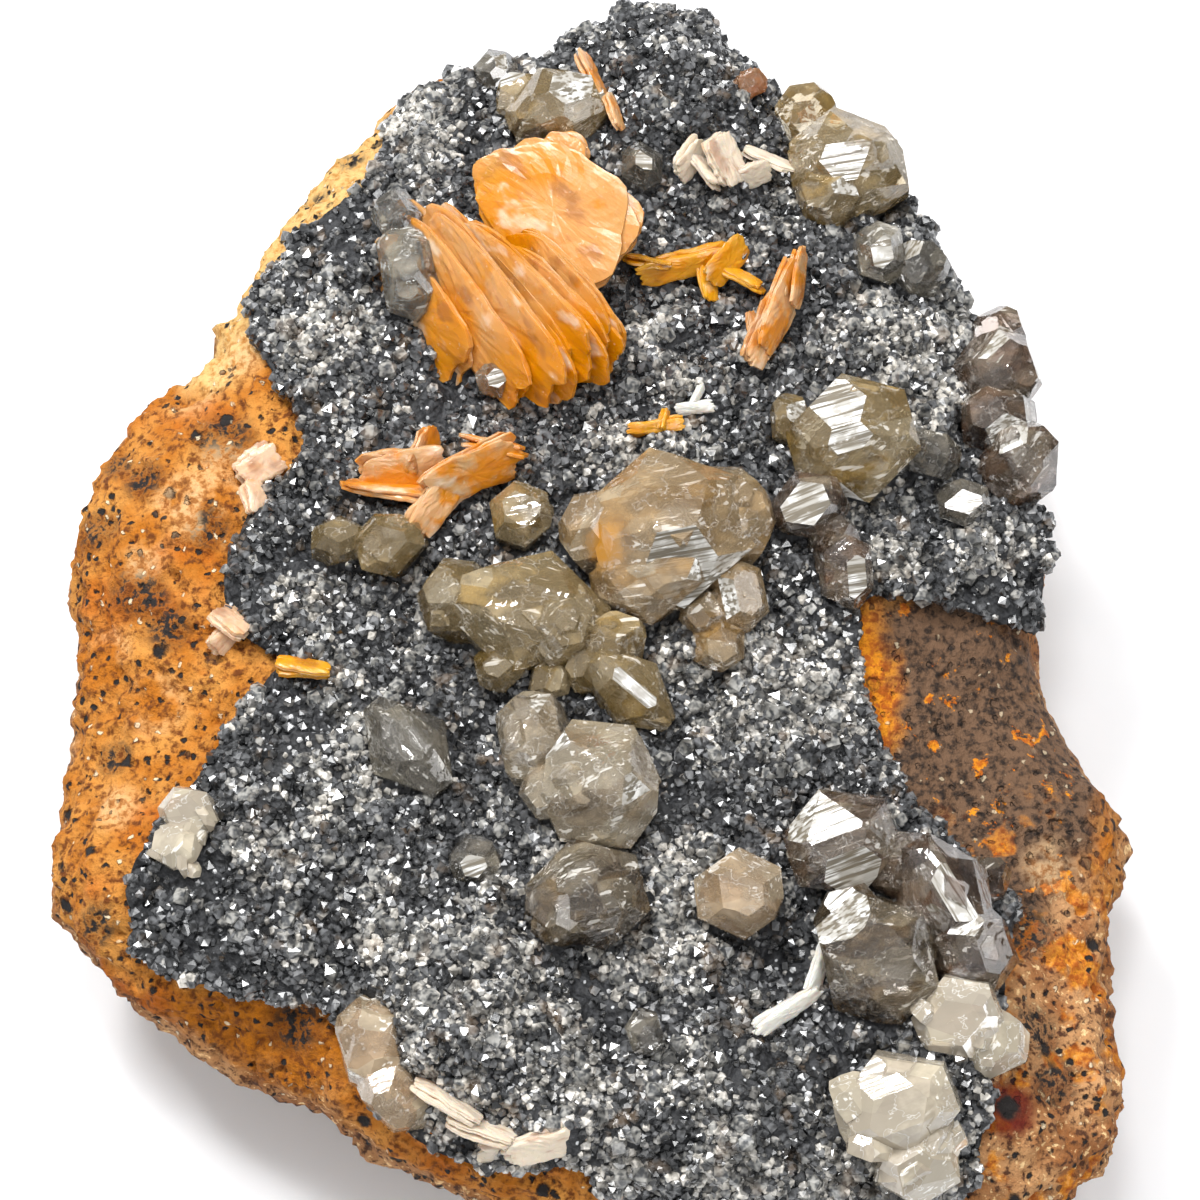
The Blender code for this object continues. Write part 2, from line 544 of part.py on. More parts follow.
def make_rock(collection):
    """The rock: a tiled top, a loft of rings down its side and underside, and a flat base."""
    bare = scattered(RIM, ROCK_STEP, ROCK_STEP * 0.6, 11, lambda x, y: not inside(BORDER, x, y))
    hidden = scattered(RIM, HIDDEN_STEP, HIDDEN_STEP * 0.5, 12, lambda x, y: inside(BORDER, x, y))
    clear = [p for p in bare + hidden if distance_to(BORDER, *p) > ROCK_STEP * ROCK_ENTRY_DEPTH]
    corners, faces = tiled(RIM, clear, [BORDER])
    shape = bmesh.new()
    tops = [shape.verts.new(Vector((c.x, c.y, rock_top(c.x, c.y))) * MM) for c in corners]
    for face in faces:
        shape.faces.new([tops[i] for i in face])
    bmesh.ops.delete(shape, geom=[v for v in tops if not v.link_faces], context="VERTS")
    rim = rim_corners(shape)
    top_loop = [v.co / MM for v in rim]
    widest = [Vector((p.x, p.y, 0)) * ((p.xy.length + RIM_INSET) / p.xy.length) for p in top_loop]
    shoulder = [Vector((w.x, w.y, t.z - SHOULDER_FALL)) for w, t in zip(widest, top_loop)]
    side = [Vector((p.x, p.y, SIDE_HEIGHT)) for p in widest]
    tuck = [Vector((p.x, p.y, TUCK_HEIGHT)) for p in drawn_in(side, TUCK_INSET)]
    base = [Vector((p.x, p.y, 0)) for p in drawn_in(side, BASE_INSET)]
    rings = [rim]
    rings.append(add_ring(shape, roughened(shoulder, ROCK_SIDE_PUSH, 5)))
    rings.append(add_ring(shape, roughened(side, ROCK_SIDE_PUSH, 15)))
    rings.append(add_ring(shape, roughened(tuck, ROCK_TUCK_PUSH, 25)))
    rings.append(add_ring(shape, base))
    for upper, lower in zip(rings, rings[1:]):
        join_rings(shape, upper, lower)
    shape.faces.new(rings[-1])
    bmesh.ops.recalc_face_normals(shape, faces=shape.faces)
    bmesh.ops.triangulate(shape, faces=shape.faces)
    return new_object("matrix_rock", shape, collection)


def rim_corners(shape):
    """The corners along the open edge of a shape, in order."""
    open_edges = [e for e in shape.edges if e.is_boundary]
    corner = open_edges[0].verts[0]
    edge = open_edges[0]
    ordered = [corner]
    while True:
        corner = edge.other_vert(corner)
        if corner is ordered[0]:
            return ordered
        ordered.append(corner)
        edge = next(e for e in corner.link_edges if e.is_boundary and e is not edge)


def footprints():
    """Where each crystal, blade and lump stands, in plan, and how far it covers the ground around."""
    spots = []
    for growths in (CERUSSITE, BARITE, CALCITE):
        for u, v, lift, size, *_ in sum(growths.values(), []):
            spot = on_ground((u, v), lift)
            spots.append((spot.x, spot.y, FOOTPRINT * min(size[0], size[1]) / 2))
    for u, v, lift, length, _ in ROSETTE:
        spot = on_ground((u, v), lift)
        spots.append((spot.x, spot.y, FOOTPRINT * ROSETTE_WIDTH / 2))
    return spots


FOOTPRINTS = footprints()


def make_crust(rock, name, lift, sink, collection):
    """The crust: the rock's own covered faces, raised by the gap, under a finely tiled lumpy top.

    lift raises and widens it, and sink draws its underside down, for the solid that other pieces are cut with.
    """
    shape = bmesh.new()
    shape.from_mesh(rock.data)
    bare = [f for f in shape.faces if not covered(f)]
    bmesh.ops.delete(shape, geom=bare, context="FACES")
    edge = rim_corners(shape)
    centre = [v.co / MM for v in edge]
    lip = []
    for i, p in enumerate(centre):
        along = (centre[(i + 1) % len(centre)] - centre[i - 1]).xy.normalized()
        out = Vector((along.y, -along.x))
        if inside(centre, *(p.xy + out * GAP)):
            out = -out
        reach = lift + CRUST_LIP * (1 + 0.6 * noise.noise(Vector((p.x, p.y, 90)) / CRUST_LIP_WAVE))
        lip.append(Vector((p.x + out.x * reach, p.y + out.y * reach, 0)))
    points = scattered(centre, CRUST_STEP, CRUST_STEP * 0.3, 13, in_the_open)
    corners, faces = tiled(lip, points, [])
    bmesh.ops.reverse_faces(shape, faces=shape.faces)
    bmesh.ops.translate(shape, verts=shape.verts, vec=Vector((0, 0, (GAP + lift - sink) * MM)))
    tops = []
    for index, c in enumerate(corners):
        height = crust_top(c.x, c.y)
        if index < len(lip):
            height = ground(c.x, c.y) - CRUST_EDGE_DROP
        tops.append(shape.verts.new(Vector((c.x, c.y, height + lift)) * MM))
    for face in faces:
        shape.faces.new([tops[i] for i in face])
    join_rings(shape, tops[:len(lip)], edge)
    bmesh.ops.recalc_face_normals(shape, faces=shape.faces)
    bmesh.ops.triangulate(shape, faces=shape.faces)
    return new_object(name, shape, collection)


def in_the_open(x, y):
    """Whether a point of the crust is clear of the crystals that stand on it."""
    return all(math.hypot(x - spot_x, y - spot_y) > reach for spot_x, spot_y, reach in FOOTPRINTS)


def covered(face):
    """Whether a face of the rock's top lies under the crust."""
    middle = face.calc_center_median() / MM
    return face.normal.z > 0.05 and inside(BORDER, middle.x, middle.y) and inside(RIM, middle.x, middle.y)


def turned(turn):
    """The rotation for a turn: spin about the piece's own axis, then tilt, then direction in plan."""
    spin, tilt, direction = (math.radians(angle) for angle in turn)
    return Matrix.Rotation(direction, 3, "Z") @ Matrix.Rotation(tilt, 3, "X") @ Matrix.Rotation(spin, 3, "Z")


def crystal_faces(large):
    """Directions of cerussite's faces: two ends, a six-sided prism and rings of pyramid faces."""
    rings = [(90, 0), (STEEP_PYRAMID, 0)]
    if large:
        rings.append((LOW_PYRAMID, 30))
    faces = [Vector((0, 0, 1)), Vector((0, 0, -1))]
    for lean, offset in rings:
        for side in range(6):
            around = math.radians(60 * side + offset)
            slope = math.radians(lean)
            outward = math.sin(slope)
            faces.append(Vector((math.cos(around) * outward, math.sin(around) * outward, math.cos(slope))))
    return faces


def make_crystal(place, lift, size, turn, clearance, collection):
    """One crystal: a block cut by each face where it would touch an egg shape of the crystal's size.

    A clearance makes it larger all round, to cut a neighbour with.
    """
    chance = random.Random(str(place))
    shape = bmesh.new()
    bmesh.ops.create_cube(shape, size=2.5 * max(size) * MM)
    half = [s / 2 for s in size]
    for normal in crystal_faces(max(size) > LARGE_CRYSTAL):
        reach = Vector((half[0] * normal.x, half[1] * normal.y, half[2] * normal.z)).length
        reach *= 1 + chance.uniform(-FACE_JITTER, FACE_JITTER)
        reach += clearance
        everything = shape.verts[:] + shape.edges[:] + shape.faces[:]
        bmesh.ops.bisect_plane(
            shape, geom=everything, dist=1e-7, plane_co=normal * reach * MM, plane_no=normal, clear_outer=True,
        )
        bmesh.ops.holes_fill(shape, edges=[e for e in shape.edges if e.is_boundary])
    bmesh.ops.remove_doubles(shape, verts=shape.verts, dist=0.02 * MM)
    bmesh.ops.recalc_face_normals(shape, faces=shape.faces)
    piece = new_object("crystal", shape, collection)
    piece.location = on_ground(place, lift) * MM
    piece.rotation_euler = crystal_turn(turn).to_euler()
    return piece


def crystal_turn(turn):
    """The rotation of a crystal: its axis leans by the tilt towards the direction in plan, then it is spun."""
    spin, tilt, direction = (math.radians(angle) for angle in turn)
    lean = Matrix.Rotation(direction, 3, "Z") @ Matrix.Rotation(tilt, 3, "Y") @ Matrix.Rotation(-direction, 3, "Z")
    return lean @ Matrix.Rotation(spin, 3, "Z")


def make_blade(place, lift, size, sides, turn, clearance, collection, hang=0.0):
    """One blade: a flat plate with an uneven, squarish outline, and a thinner rim if it is a thick one.

    Its middle hangs below its place by an amount, in the blade's own plane. A clearance makes it larger.
    """
    chance = random.Random(str(place))
    shape = bmesh.new()
    bmesh.ops.create_cone(shape, cap_ends=True, segments=sides, radius1=1, radius2=1, depth=1)
    bmesh.ops.rotate(shape, verts=shape.verts, cent=(0, 0, 0), matrix=Matrix.Rotation(math.pi / sides, 3, "Z"))
    if size[2] > THICK_BLADE:
        uprights = [e for e in shape.edges if abs(e.verts[0].co.z - e.verts[1].co.z) > 0.5]
        bmesh.ops.subdivide_edges(shape, edges=uprights, cuts=1)
    stretch = {}
    for corner in shape.verts:
        key = (round(corner.co.x, 3), round(corner.co.y, 3))
        powers = abs(corner.co.x) ** BLADE_SQUARENESS + abs(corner.co.y) ** BLADE_SQUARENESS
        stretch.setdefault(key, powers ** (-1 / BLADE_SQUARENESS) * chance.uniform(*BLADE_UNEVENNESS))
        reach = stretch[key] * (BLADE_RIM if size[2] > THICK_BLADE and abs(corner.co.z) > 0.25 else 1.0)
        corner.co.x *= reach * (size[0] / 2 + clearance) * MM
        corner.co.y *= reach * (size[1] / 2 + clearance) * MM
        corner.co.z *= (size[2] + 2 * clearance) * MM
    bmesh.ops.triangulate(shape, faces=shape.faces)
    piece = new_object("blade", shape, collection)
    turn = turned(turn)
    piece.location = (on_ground(place, lift) - turn @ Vector((0, hang, 0))) * MM
    piece.rotation_euler = turn.to_euler()
    return piece


def make_lump(place, lift, size, clearance, collection):
    """One rounded lump, with flats left by its crystals."""
    chance = random.Random(str(place))
    shape = bmesh.new()
    bmesh.ops.create_icosphere(shape, subdivisions=1, radius=1)
    for corner in shape.verts:
        swell = 1 + chance.uniform(-LUMP_UNEVENNESS, LUMP_UNEVENNESS)
        corner.co = Vector((corner.co[i] * swell * (size[i] / 2 + clearance) * MM for i in range(3)))
    piece = new_object("lump", shape, collection)
    piece.location = on_ground(place, lift) * MM
    return piece


def combine(piece, operation, others, folded=False):
    """Join other solids to a piece, or cut them away, and keep the result as the piece's mesh.

    folded says that the solids may cross themselves.
    """
    group = bpy.data.collections.new("group")
    for other in others:
        group.objects.link(other)
    step = piece.modifiers.new("step", "BOOLEAN")
    step.operation = operation
    step.solver = "EXACT"
    step.use_self = folded
    step.operand_type = "COLLECTION"
    step.collection = group
    bpy.context.view_layer.update()
    before = piece.data
    piece.data = bpy.data.meshes.new_from_object(piece.evaluated_get(bpy.context.evaluated_depsgraph_get()))
    piece.modifiers.clear()
    bpy.data.meshes.remove(before)
    bpy.data.collections.remove(group)


def discard(piece):
    """Remove an object and its mesh."""
    mesh = piece.data
    bpy.data.objects.remove(piece)
    bpy.data.meshes.remove(mesh)


def joined(name, pieces):
    """Pieces that have grown together, as one object."""
    first = pieces[0]
    if len(pieces) > 1:
        combine(first, "UNION", pieces[1:])
    for other in pieces[1:]:
        discard(other)
    first.name = name
    first.data.name = name
    return first


def tidied(piece):
    """Keep a piece's largest body, and drop the chips and thin slivers that a cut leaves."""
    shape = bmesh.new()
    shape.from_mesh(piece.data)
    bmesh.ops.remove_doubles(shape, verts=shape.verts, dist=SLIVER * MM)
    bmesh.ops.dissolve_degenerate(shape, edges=shape.edges, dist=SLIVER * MM)
    bmesh.ops.holes_fill(shape, edges=[e for e in shape.edges if e.is_boundary])
    shape.normal_update()
    seat = [f for f in shape.faces if f.normal.z < SEAT_SLOPE]
    seat_edges = {e for f in seat for e in f.edges if all(g.normal.z < SEAT_SLOPE for g in e.link_faces)}
    seat_corners = {v for e in seat_edges for v in e.verts if all(f.normal.z < SEAT_SLOPE for f in v.link_faces)}
    bmesh.ops.dissolve_limit(
        shape, angle_limit=math.radians(SEAT_FLATNESS), verts=list(seat_corners), edges=list(seat_edges),
    )
    bmesh.ops.dissolve_limit(shape, angle_limit=math.radians(0.5), verts=shape.verts, edges=shape.edges)
    bmesh.ops.triangulate(shape, faces=shape.faces)
    unseen = set(shape.faces)
    bodies = []
    while unseen:
        body = []
        queue = [unseen.pop()]
        while queue:
            face = queue.pop()
            body.append(face)
            for edge in face.edges:
                for near in edge.link_faces:
                    if near in unseen:
                        unseen.remove(near)
                        queue.append(near)
        bodies.append(body)
    bodies.sort(key=lambda body: sum(f.calc_area() for f in body))
    for body in bodies[:-1]:
        bmesh.ops.delete(shape, geom=body, context="FACES")
    loose = [v for v in shape.verts if not v.link_faces]
    bmesh.ops.delete(shape, geom=loose, context="VERTS")
    shape.to_mesh(piece.data)
    shape.free()


def finish(name):
    """The material of one kind of piece."""
    colour, roughness, metallic = FINISHES[name]
    material = bpy.data.materials.new(name)
    material.use_nodes = True
    shader = material.node_tree.nodes["Principled BSDF"]
    shader.inputs["Base Color"].default_value = (*colour, 1)
    shader.inputs["Roughness"].default_value = roughness
    shader.inputs["Metallic"].default_value = metallic
    material.diffuse_color = (*colour, 1)
    return material


def make_growth(name, clearance, collection):
    """One group of crystals, blades or lumps that have grown together, each larger by the clearance."""
    members = []
    for u, v, lift, size, turn in CERUSSITE.get(name, []):
        members.append(make_crystal((u, v), lift, size, turn, clearance, collection))
    for u, v, lift, size, sides, turn in BARITE.get(name, []):
        members.append(make_blade((u, v), lift, size, sides, turn, clearance, collection))
    for u, v, lift, size in CALCITE.get(name, []):
        members.append(make_lump((u, v), lift, size, clearance, collection))
    if name == "barite_rosette":
        for u, v, lift, length, direction in ROSETTE:
            size = (length, ROSETTE_WIDTH, ROSETTE_THICKNESS)
            turn = (0, ROSETTE_STAND, direction)
            hang = ROSETTE_WIDTH / 2
            blade = make_blade((u, v), lift, size, ROSETTE_BLADE_SIDES, turn, clearance, collection, hang)
            members.append(blade)
    return joined(name, members)


def centre_on_origin(pieces):
    """Hang every piece on an empty that puts the origin under the middle of the specimen."""
    bpy.context.view_layer.update()
    corners = [piece.matrix_world @ v.co for piece in pieces for v in piece.data.vertices]
    middle_x = (min(c.x for c in corners) + max(c.x for c in corners)) / 2
    middle_y = (min(c.y for c in corners) + max(c.y for c in corners)) / 2
    holder = bpy.data.objects.new("specimen", None)
    pieces[0].users_collection[0].objects.link(holder)
    holder.location = (-middle_x, -middle_y, 0)
    for piece in pieces:
        piece.parent = holder
    print(f"origin moved by {middle_x / MM:.3f} {middle_y / MM:.3f} mm")


def main():
    """Build the specimen."""
    for old in list(bpy.data.objects):
        bpy.data.objects.remove(old)
    specimen = bpy.data.collections.new("cerussite")
    cutters = bpy.data.collections.new("cutters")
    bpy.context.scene.collection.children.link(specimen)
    bpy.context.scene.collection.children.link(cutters)

    rock = make_rock(specimen)
    crust = make_crust(rock, "drusy_crust", 0, 0, specimen)
    ground_cutters = [make_crust(rock, "crust_cutter", SEAT_GAP, CRUST_SINK, cutters)]
    rock_cutter = rock.copy()
    rock_cutter.name = "rock_cutter"
    rock_cutter.location.z = SEAT_GAP * MM
    cutters.objects.link(rock_cutter)
    ground_cutters.append(rock_cutter)
    for cutter in ground_cutters:
        cutter.hide_render = True
        cutter.display_type = "WIRE"

    growths = {}
    for name in list(CERUSSITE) + list(BARITE) + list(CALCITE):
        growths[name] = make_growth(name, 0, specimen)
    for name, piece in growths.items():
        neighbours = [make_growth(second, GAP, cutters) for first, second in YIELDS if first == name]
        combine(piece, "DIFFERENCE", neighbours + ground_cutters, folded=True)
        tidied(piece)
        for neighbour in neighbours:
            discard(neighbour)

    finishes = {name: finish(name) for name in FINISHES}
    pieces = [rock, crust] + list(growths.values())
    for piece in pieces:
        kind = piece.name if piece.name in FINISHES else piece.name.split("_")[0]
        piece.data.materials.clear()
        piece.data.materials.append(finishes[kind])
    centre_on_origin(pieces)


main()
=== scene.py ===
# %% [markdown]
# # A cerussite specimen
# Clear to smoky cerussite crystals and orange barite blades stand on a dark crust that glitters with tiny
# crystals. The crust covers most of one face of an ochre rock, which lies on its back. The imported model
# gives the places and sizes. Here it gets its true surfaces, piece by piece, from the rock up to the
# smallest grain.

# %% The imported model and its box
import json
import math
import random

import bmesh
import bpy
import numpy as np
from mathutils import Matrix, Vector, noise
from mathutils.bvhtree import BVHTree

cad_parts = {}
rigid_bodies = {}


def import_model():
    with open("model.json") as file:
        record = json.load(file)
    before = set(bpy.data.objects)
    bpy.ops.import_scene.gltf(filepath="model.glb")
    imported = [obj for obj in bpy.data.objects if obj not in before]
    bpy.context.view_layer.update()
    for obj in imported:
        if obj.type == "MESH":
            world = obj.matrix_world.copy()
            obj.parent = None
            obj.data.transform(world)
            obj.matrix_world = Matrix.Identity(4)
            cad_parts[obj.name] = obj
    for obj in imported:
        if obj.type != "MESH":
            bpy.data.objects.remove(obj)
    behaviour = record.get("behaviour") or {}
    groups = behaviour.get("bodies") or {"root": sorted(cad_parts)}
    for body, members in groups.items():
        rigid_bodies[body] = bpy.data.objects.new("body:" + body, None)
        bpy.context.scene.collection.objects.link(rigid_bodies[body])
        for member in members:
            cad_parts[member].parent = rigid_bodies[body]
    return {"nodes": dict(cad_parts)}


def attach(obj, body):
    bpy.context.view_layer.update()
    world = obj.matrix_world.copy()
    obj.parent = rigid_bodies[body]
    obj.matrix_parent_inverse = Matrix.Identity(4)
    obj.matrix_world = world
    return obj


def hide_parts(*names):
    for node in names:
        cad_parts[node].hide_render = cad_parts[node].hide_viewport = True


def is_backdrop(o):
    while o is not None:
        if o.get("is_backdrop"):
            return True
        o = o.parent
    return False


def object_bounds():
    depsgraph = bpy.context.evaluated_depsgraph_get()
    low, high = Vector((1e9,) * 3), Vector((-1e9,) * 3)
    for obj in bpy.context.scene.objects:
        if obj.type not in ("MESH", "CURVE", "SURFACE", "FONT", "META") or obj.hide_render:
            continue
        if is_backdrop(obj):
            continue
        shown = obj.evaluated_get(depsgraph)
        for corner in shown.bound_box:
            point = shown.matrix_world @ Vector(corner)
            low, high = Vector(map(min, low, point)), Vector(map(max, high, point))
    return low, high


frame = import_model()
cad_low, cad_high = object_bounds()
MM = 0.001
print("the solids measure", [round(side / MM, 1) for side in cad_high - cad_low], "mm")

# %% [markdown]
# ## The view
# The specimen is seen from above its near edge. A long lens keeps its outline almost free of perspective, so
# the camera stands far off for an object of this size. The same line of sight also turns a place in the
# picture, 1200 units square, into a place on the stone, and this is how each crystal finds its spot.

# %% The camera and its lines of sight
PICTURE_MIDDLE = 600.0
PICTURE_UNIT = 0.09 * MM
EYE_DISTANCE = 380 * MM
EYE_ELEVATION = math.radians(68)
AIM = Vector((1.087, -4.038, 28.0)) * MM
SENSOR = 36.0

cosine = math.cos(EYE_ELEVATION)
sine = math.sin(EYE_ELEVATION)
EYE = AIM + Vector((0, -cosine, sine)) * EYE_DISTANCE

camera_data = bpy.data.cameras.new("camera")
camera_data.sensor_width = SENSOR
camera_data.lens = SENSOR * EYE_DISTANCE / (2 * PICTURE_MIDDLE * PICTURE_UNIT)
camera_data.clip_start = 0.01
camera = bpy.data.objects.new("camera", camera_data)
camera.location = EYE
camera.rotation_euler = (AIM - EYE).to_track_quat("-Z", "Y").to_euler()
bpy.context.scene.collection.objects.link(camera)
bpy.context.scene.camera = camera


def line_of_sight(place):
    """The direction from the eye to a place in the picture."""
    across = (place[0] - PICTURE_MIDDLE) * PICTURE_UNIT / EYE_DISTANCE
    up = (PICTURE_MIDDLE - place[1]) * PICTURE_UNIT / EYE_DISTANCE
    return Vector((across, cosine + up * sine, up * cosine - sine))


def at_height(place, height):
    """The point at a height in metres that is seen at a place in the picture."""
    sight = line_of_sight(place)
    return EYE + sight * ((height - EYE.z) / sight.z)


print("the lens is", round(camera_data.lens, 1), "mm")

# %% [markdown]
# ## Floor and light
# A pale floor runs out to the horizon. A large soft light from the upper left shapes the stone. Small bright
# panels, also soft, give the flat crystal faces their white flashes, because a mirror-like face only shines
# when it turns one of them to the eye.

# %% The floor, the sky and the lamps
scene = bpy.context.scene
scene.view_settings.view_transform = "Standard"
scene.cycles.max_bounces = 5
scene.cycles.transmission_bounces = 5
scene.cycles.glossy_bounces = 2
scene.cycles.diffuse_bounces = 2
scene.cycles.volume_bounces = 0
scene.cycles.adaptive_threshold = 0.2
scene.cycles.sample_clamp_indirect = 6.0

FLOOR_SIDE = 4.0
floor_mesh = bpy.data.meshes.new("floor")
corners = [(x * FLOOR_SIDE, y * FLOOR_SIDE, 0) for x, y in ((-1, -1), (1, -1), (1, 1), (-1, 1))]
floor_mesh.from_pydata(corners, [], [(0, 1, 2, 3)])
floor = bpy.data.objects.new("floor", floor_mesh)
scene.collection.objects.link(floor)
floor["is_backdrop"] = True


def add_panel(name, azimuth, elevation, distance, side, power):
    """A square soft light that faces the stone. Its azimuth is counted anticlockwise from the near side."""
    around = math.radians(azimuth)
    above = math.radians(elevation)
    level = math.cos(above)
    towards = Vector((math.sin(around) * level, -math.cos(around) * level, math.sin(above)))
    lamp = bpy.data.lights.new(name, "AREA")
    lamp.size = side
    lamp.energy = power
    panel = bpy.data.objects.new(name, lamp)
    panel.location = AIM + towards * distance
    panel.rotation_euler = (-towards).to_track_quat("-Z", "Y").to_euler()
    scene.collection.objects.link(panel)
    return panel


add_panel("key_light", -140, 52, 0.7, 0.22, 3.9)
add_panel("fill_light", 70, 40, 0.9, 0.4, 1.0)
add_panel("face_flash", -160, 80, 0.6, 0.12, 1.2)
add_panel("low_flash", 20, 50, 0.6, 0.09, 0.7)
add_panel("rim_flash", 150, 60, 0.6, 0.10, 0.9)
print("the light stands")

# %% [markdown]
# ## Shader maths in plain Python
# Every finish below is worked out from positions on the stone. A small class wraps a socket, so that an
# expression such as `1 - mask * 2` adds its Math nodes by itself. One method makes any other node.


# %% The material helpers
class Wire:
    """A socket in a material, on which sums can be done."""

    def __init__(self, sheet, socket):
        self.sheet = sheet
        self.socket = socket

    def sum(self, operation, *values):
        sockets = {i: value for i, value in enumerate(values)}
        return self.sheet.node("ShaderNodeMath", {"operation": operation}, sockets)

    def __add__(self, other):
        return self.sum("ADD", self, other)

    def __radd__(self, other):
        return self.sum("ADD", other, self)

    def __sub__(self, other):
        return self.sum("SUBTRACT", self, other)

    def __rsub__(self, other):
        return self.sum("SUBTRACT", other, self)

    def __mul__(self, other):
        return self.sum("MULTIPLY", self, other)

    def larger(self, other):
        return self.sum("MAXIMUM", self, other)

    def smaller(self, other):
        return self.sum("MINIMUM", self, other)

    def size(self):
        return self.sum("ABSOLUTE", self)

    def step(self, low, high):
        """0 below low, 1 above high, and smooth between them. With low above high it falls instead."""
        settings = {"interpolation_type": "SMOOTHSTEP"}
        ends = (0.0, 1.0)
        if low > high:
            low, high = high, low
            ends = (1.0, 0.0)
        sockets = {0: self, 1: low, 2: high, 3: ends[0], 4: ends[1]}
        return self.sheet.node("ShaderNodeMapRange", settings, sockets)


class Sheet:
    """The nodes of one material, or of the sky."""

    def __init__(self, name, owner=None):
        self.material = owner or bpy.data.materials.new(name)
        self.material.use_nodes = True
        self.tree = self.material.node_tree
        self.tree.nodes.clear()

    def node(self, kind, settings=None, sockets=None, out=0):
        """Add a node, its settings before its sockets' values or wires, and return one of its outputs."""
        made = self.tree.nodes.new(kind)
        for name, value in (settings or {}).items():
            setattr(made, name, value)
        for name, value in (sockets or {}).items():
            if isinstance(value, Wire):
                self.tree.links.new(value.socket, made.inputs[name])
            else:
                made.inputs[name].default_value = value
        return Wire(self, made.outputs[out])

    def place(self):
        """The place on the stone, in millimetres."""
        coordinates = self.node("ShaderNodeTexCoord", out=3)
        return self.node("ShaderNodeVectorMath", {"operation": "SCALE"}, {0: coordinates, 3: 1 / MM})

    def own_place(self):
        """The place in the piece's own axes, in millimetres, which each crystal and leaf carries along."""
        return self.node("ShaderNodeAttribute", {"attribute_name": "own"}, out=1)

    def scaled(self, place, factors):
        """The place stretched along each axis."""
        return self.node("ShaderNodeVectorMath", {"operation": "MULTIPLY"}, {0: place, 1: factors})

    def noise(self, place, wave, detail=3.0, rough=0.55):
        """Cloudy noise from 0 to 1 with a wavelength in millimetres."""
        sockets = {"Vector": place, "Scale": 1 / wave, "Detail": detail, "Roughness": rough}
        return self.node("ShaderNodeTexNoise", {}, sockets)

    def warped(self, place, wave, amount):
        """The place pushed about by noise, so that borders become ragged."""
        sockets = {"Vector": place, "Scale": 1 / wave, "Detail": 4.0}
        push = self.node("ShaderNodeTexNoise", {}, sockets, out=1)
        settings = {"operation": "MULTIPLY_ADD"}
        return self.node("ShaderNodeVectorMath", settings, {0: push, 1: (amount,) * 3, 2: place})

    def spots(self, place, size, share, radius):
        """Round spots in a share of the cells of a size; the radius is a part of that size."""
        cells = self.tree.nodes.new("ShaderNodeTexVoronoi")
        self.tree.links.new(place.socket, cells.inputs["Vector"])
        cells.inputs["Scale"].default_value = 1 / size
        distance = Wire(self, cells.outputs["Distance"])
        chance = self.node("ShaderNodeSeparateColor", {}, {0: Wire(self, cells.outputs["Color"])})
        chosen = chance.step(1 - share, 1 - share + 0.02)
        return distance.step(radius, radius * 0.6) * chosen

    def blocks(self, place, size):
        """A chance number for each angular block of a size."""
        block = self.node("ShaderNodeTexVoronoi", {}, {"Vector": place, "Scale": 1 / size}, out=1)
        return self.node("ShaderNodeSeparateColor", {}, {0: block})

    def patch(self, place, middle, reach, edge=0.25):
        """A soft-edged patch around a middle point, with a reach in millimetres along each axis."""
        away = self.node("ShaderNodeVectorMath", {"operation": "SUBTRACT"}, {0: place, 1: middle})
        away = self.scaled(away, tuple(1 / r for r in reach))
        settings = {"operation": "LENGTH"}
        away = self.node("ShaderNodeVectorMath", settings, {0: away}, out=1)
        return away.step(1 + edge, 1 - edge)

    def mix(self, share, first, second):
        """Blend two colours."""
        return self.node("ShaderNodeMix", {"data_type": "RGBA"}, {0: share, 6: first, 7: second}, out=2)

    def bump(self, height, strength, distance):
        """A normal tilted by a height; the distance is in millimetres."""
        sockets = {"Height": height, "Strength": strength, "Distance": distance * MM}
        return self.node("ShaderNodeBump", {}, sockets)

    def principled(self, **sockets):
        """The surface of a solid; a name such as base_color stands for the socket Base Color."""
        named = {}
        for name, value in sockets.items():
            named[name.replace("_", " ").title().replace("Ior", "IOR")] = value
        return self.node("ShaderNodeBsdfPrincipled", {}, named)

    def finish(self, surface, volume=None):
        """Wire the surface, and a clear body's volume, to the output and return the material."""
        end = self.tree.nodes.new("ShaderNodeOutputMaterial")
        self.tree.links.new(surface.socket, end.inputs["Surface"])
        if volume:
            self.tree.links.new(volume.socket, end.inputs["Volume"])
        return self.material


def paint(red, green, blue):
    """A colour as seen on a screen, 0 to 255, as the shader's linear colour."""
    seen = [c / 255 for c in (red, green, blue)]
    return (*[c / 12.92 if c <= 0.04045 else ((c + 0.055) / 1.055) ** 2.4 for c in seen], 1.0)


sheet = Sheet("pale_floor")
floor_mesh.materials.append(sheet.finish(sheet.principled(base_color=paint(244, 245, 247), roughness=0.9)))

# The sky is bright overhead and to the left and dim to the right, so that facets mirror different things.
SKY_DIMMEST = 0.12
SKY_BRIGHTEST = 0.62
scene.world = bpy.data.worlds.new("sky")
scene.world.cycles.sampling_method = "NONE"
sheet = Sheet("sky", scene.world)
direction = sheet.node("ShaderNodeTexCoord", out=0)
across = sheet.node("ShaderNodeSeparateXYZ", {}, {0: direction}, out=0)
upward = sheet.node("ShaderNodeSeparateXYZ", {}, {0: direction}, out=2)
bright = (upward * 0.75 - across * 0.35).step(-0.1, 0.95)
strength = bright * (SKY_BRIGHTEST - SKY_DIMMEST) + SKY_DIMMEST
sky = sheet.node("ShaderNodeBackground", {}, {"Color": (0.97, 0.985, 1.0, 1), "Strength": strength})
sky_end = sheet.tree.nodes.new("ShaderNodeOutputWorld")
sheet.tree.links.new(sky.socket, sky_end.inputs["Surface"])
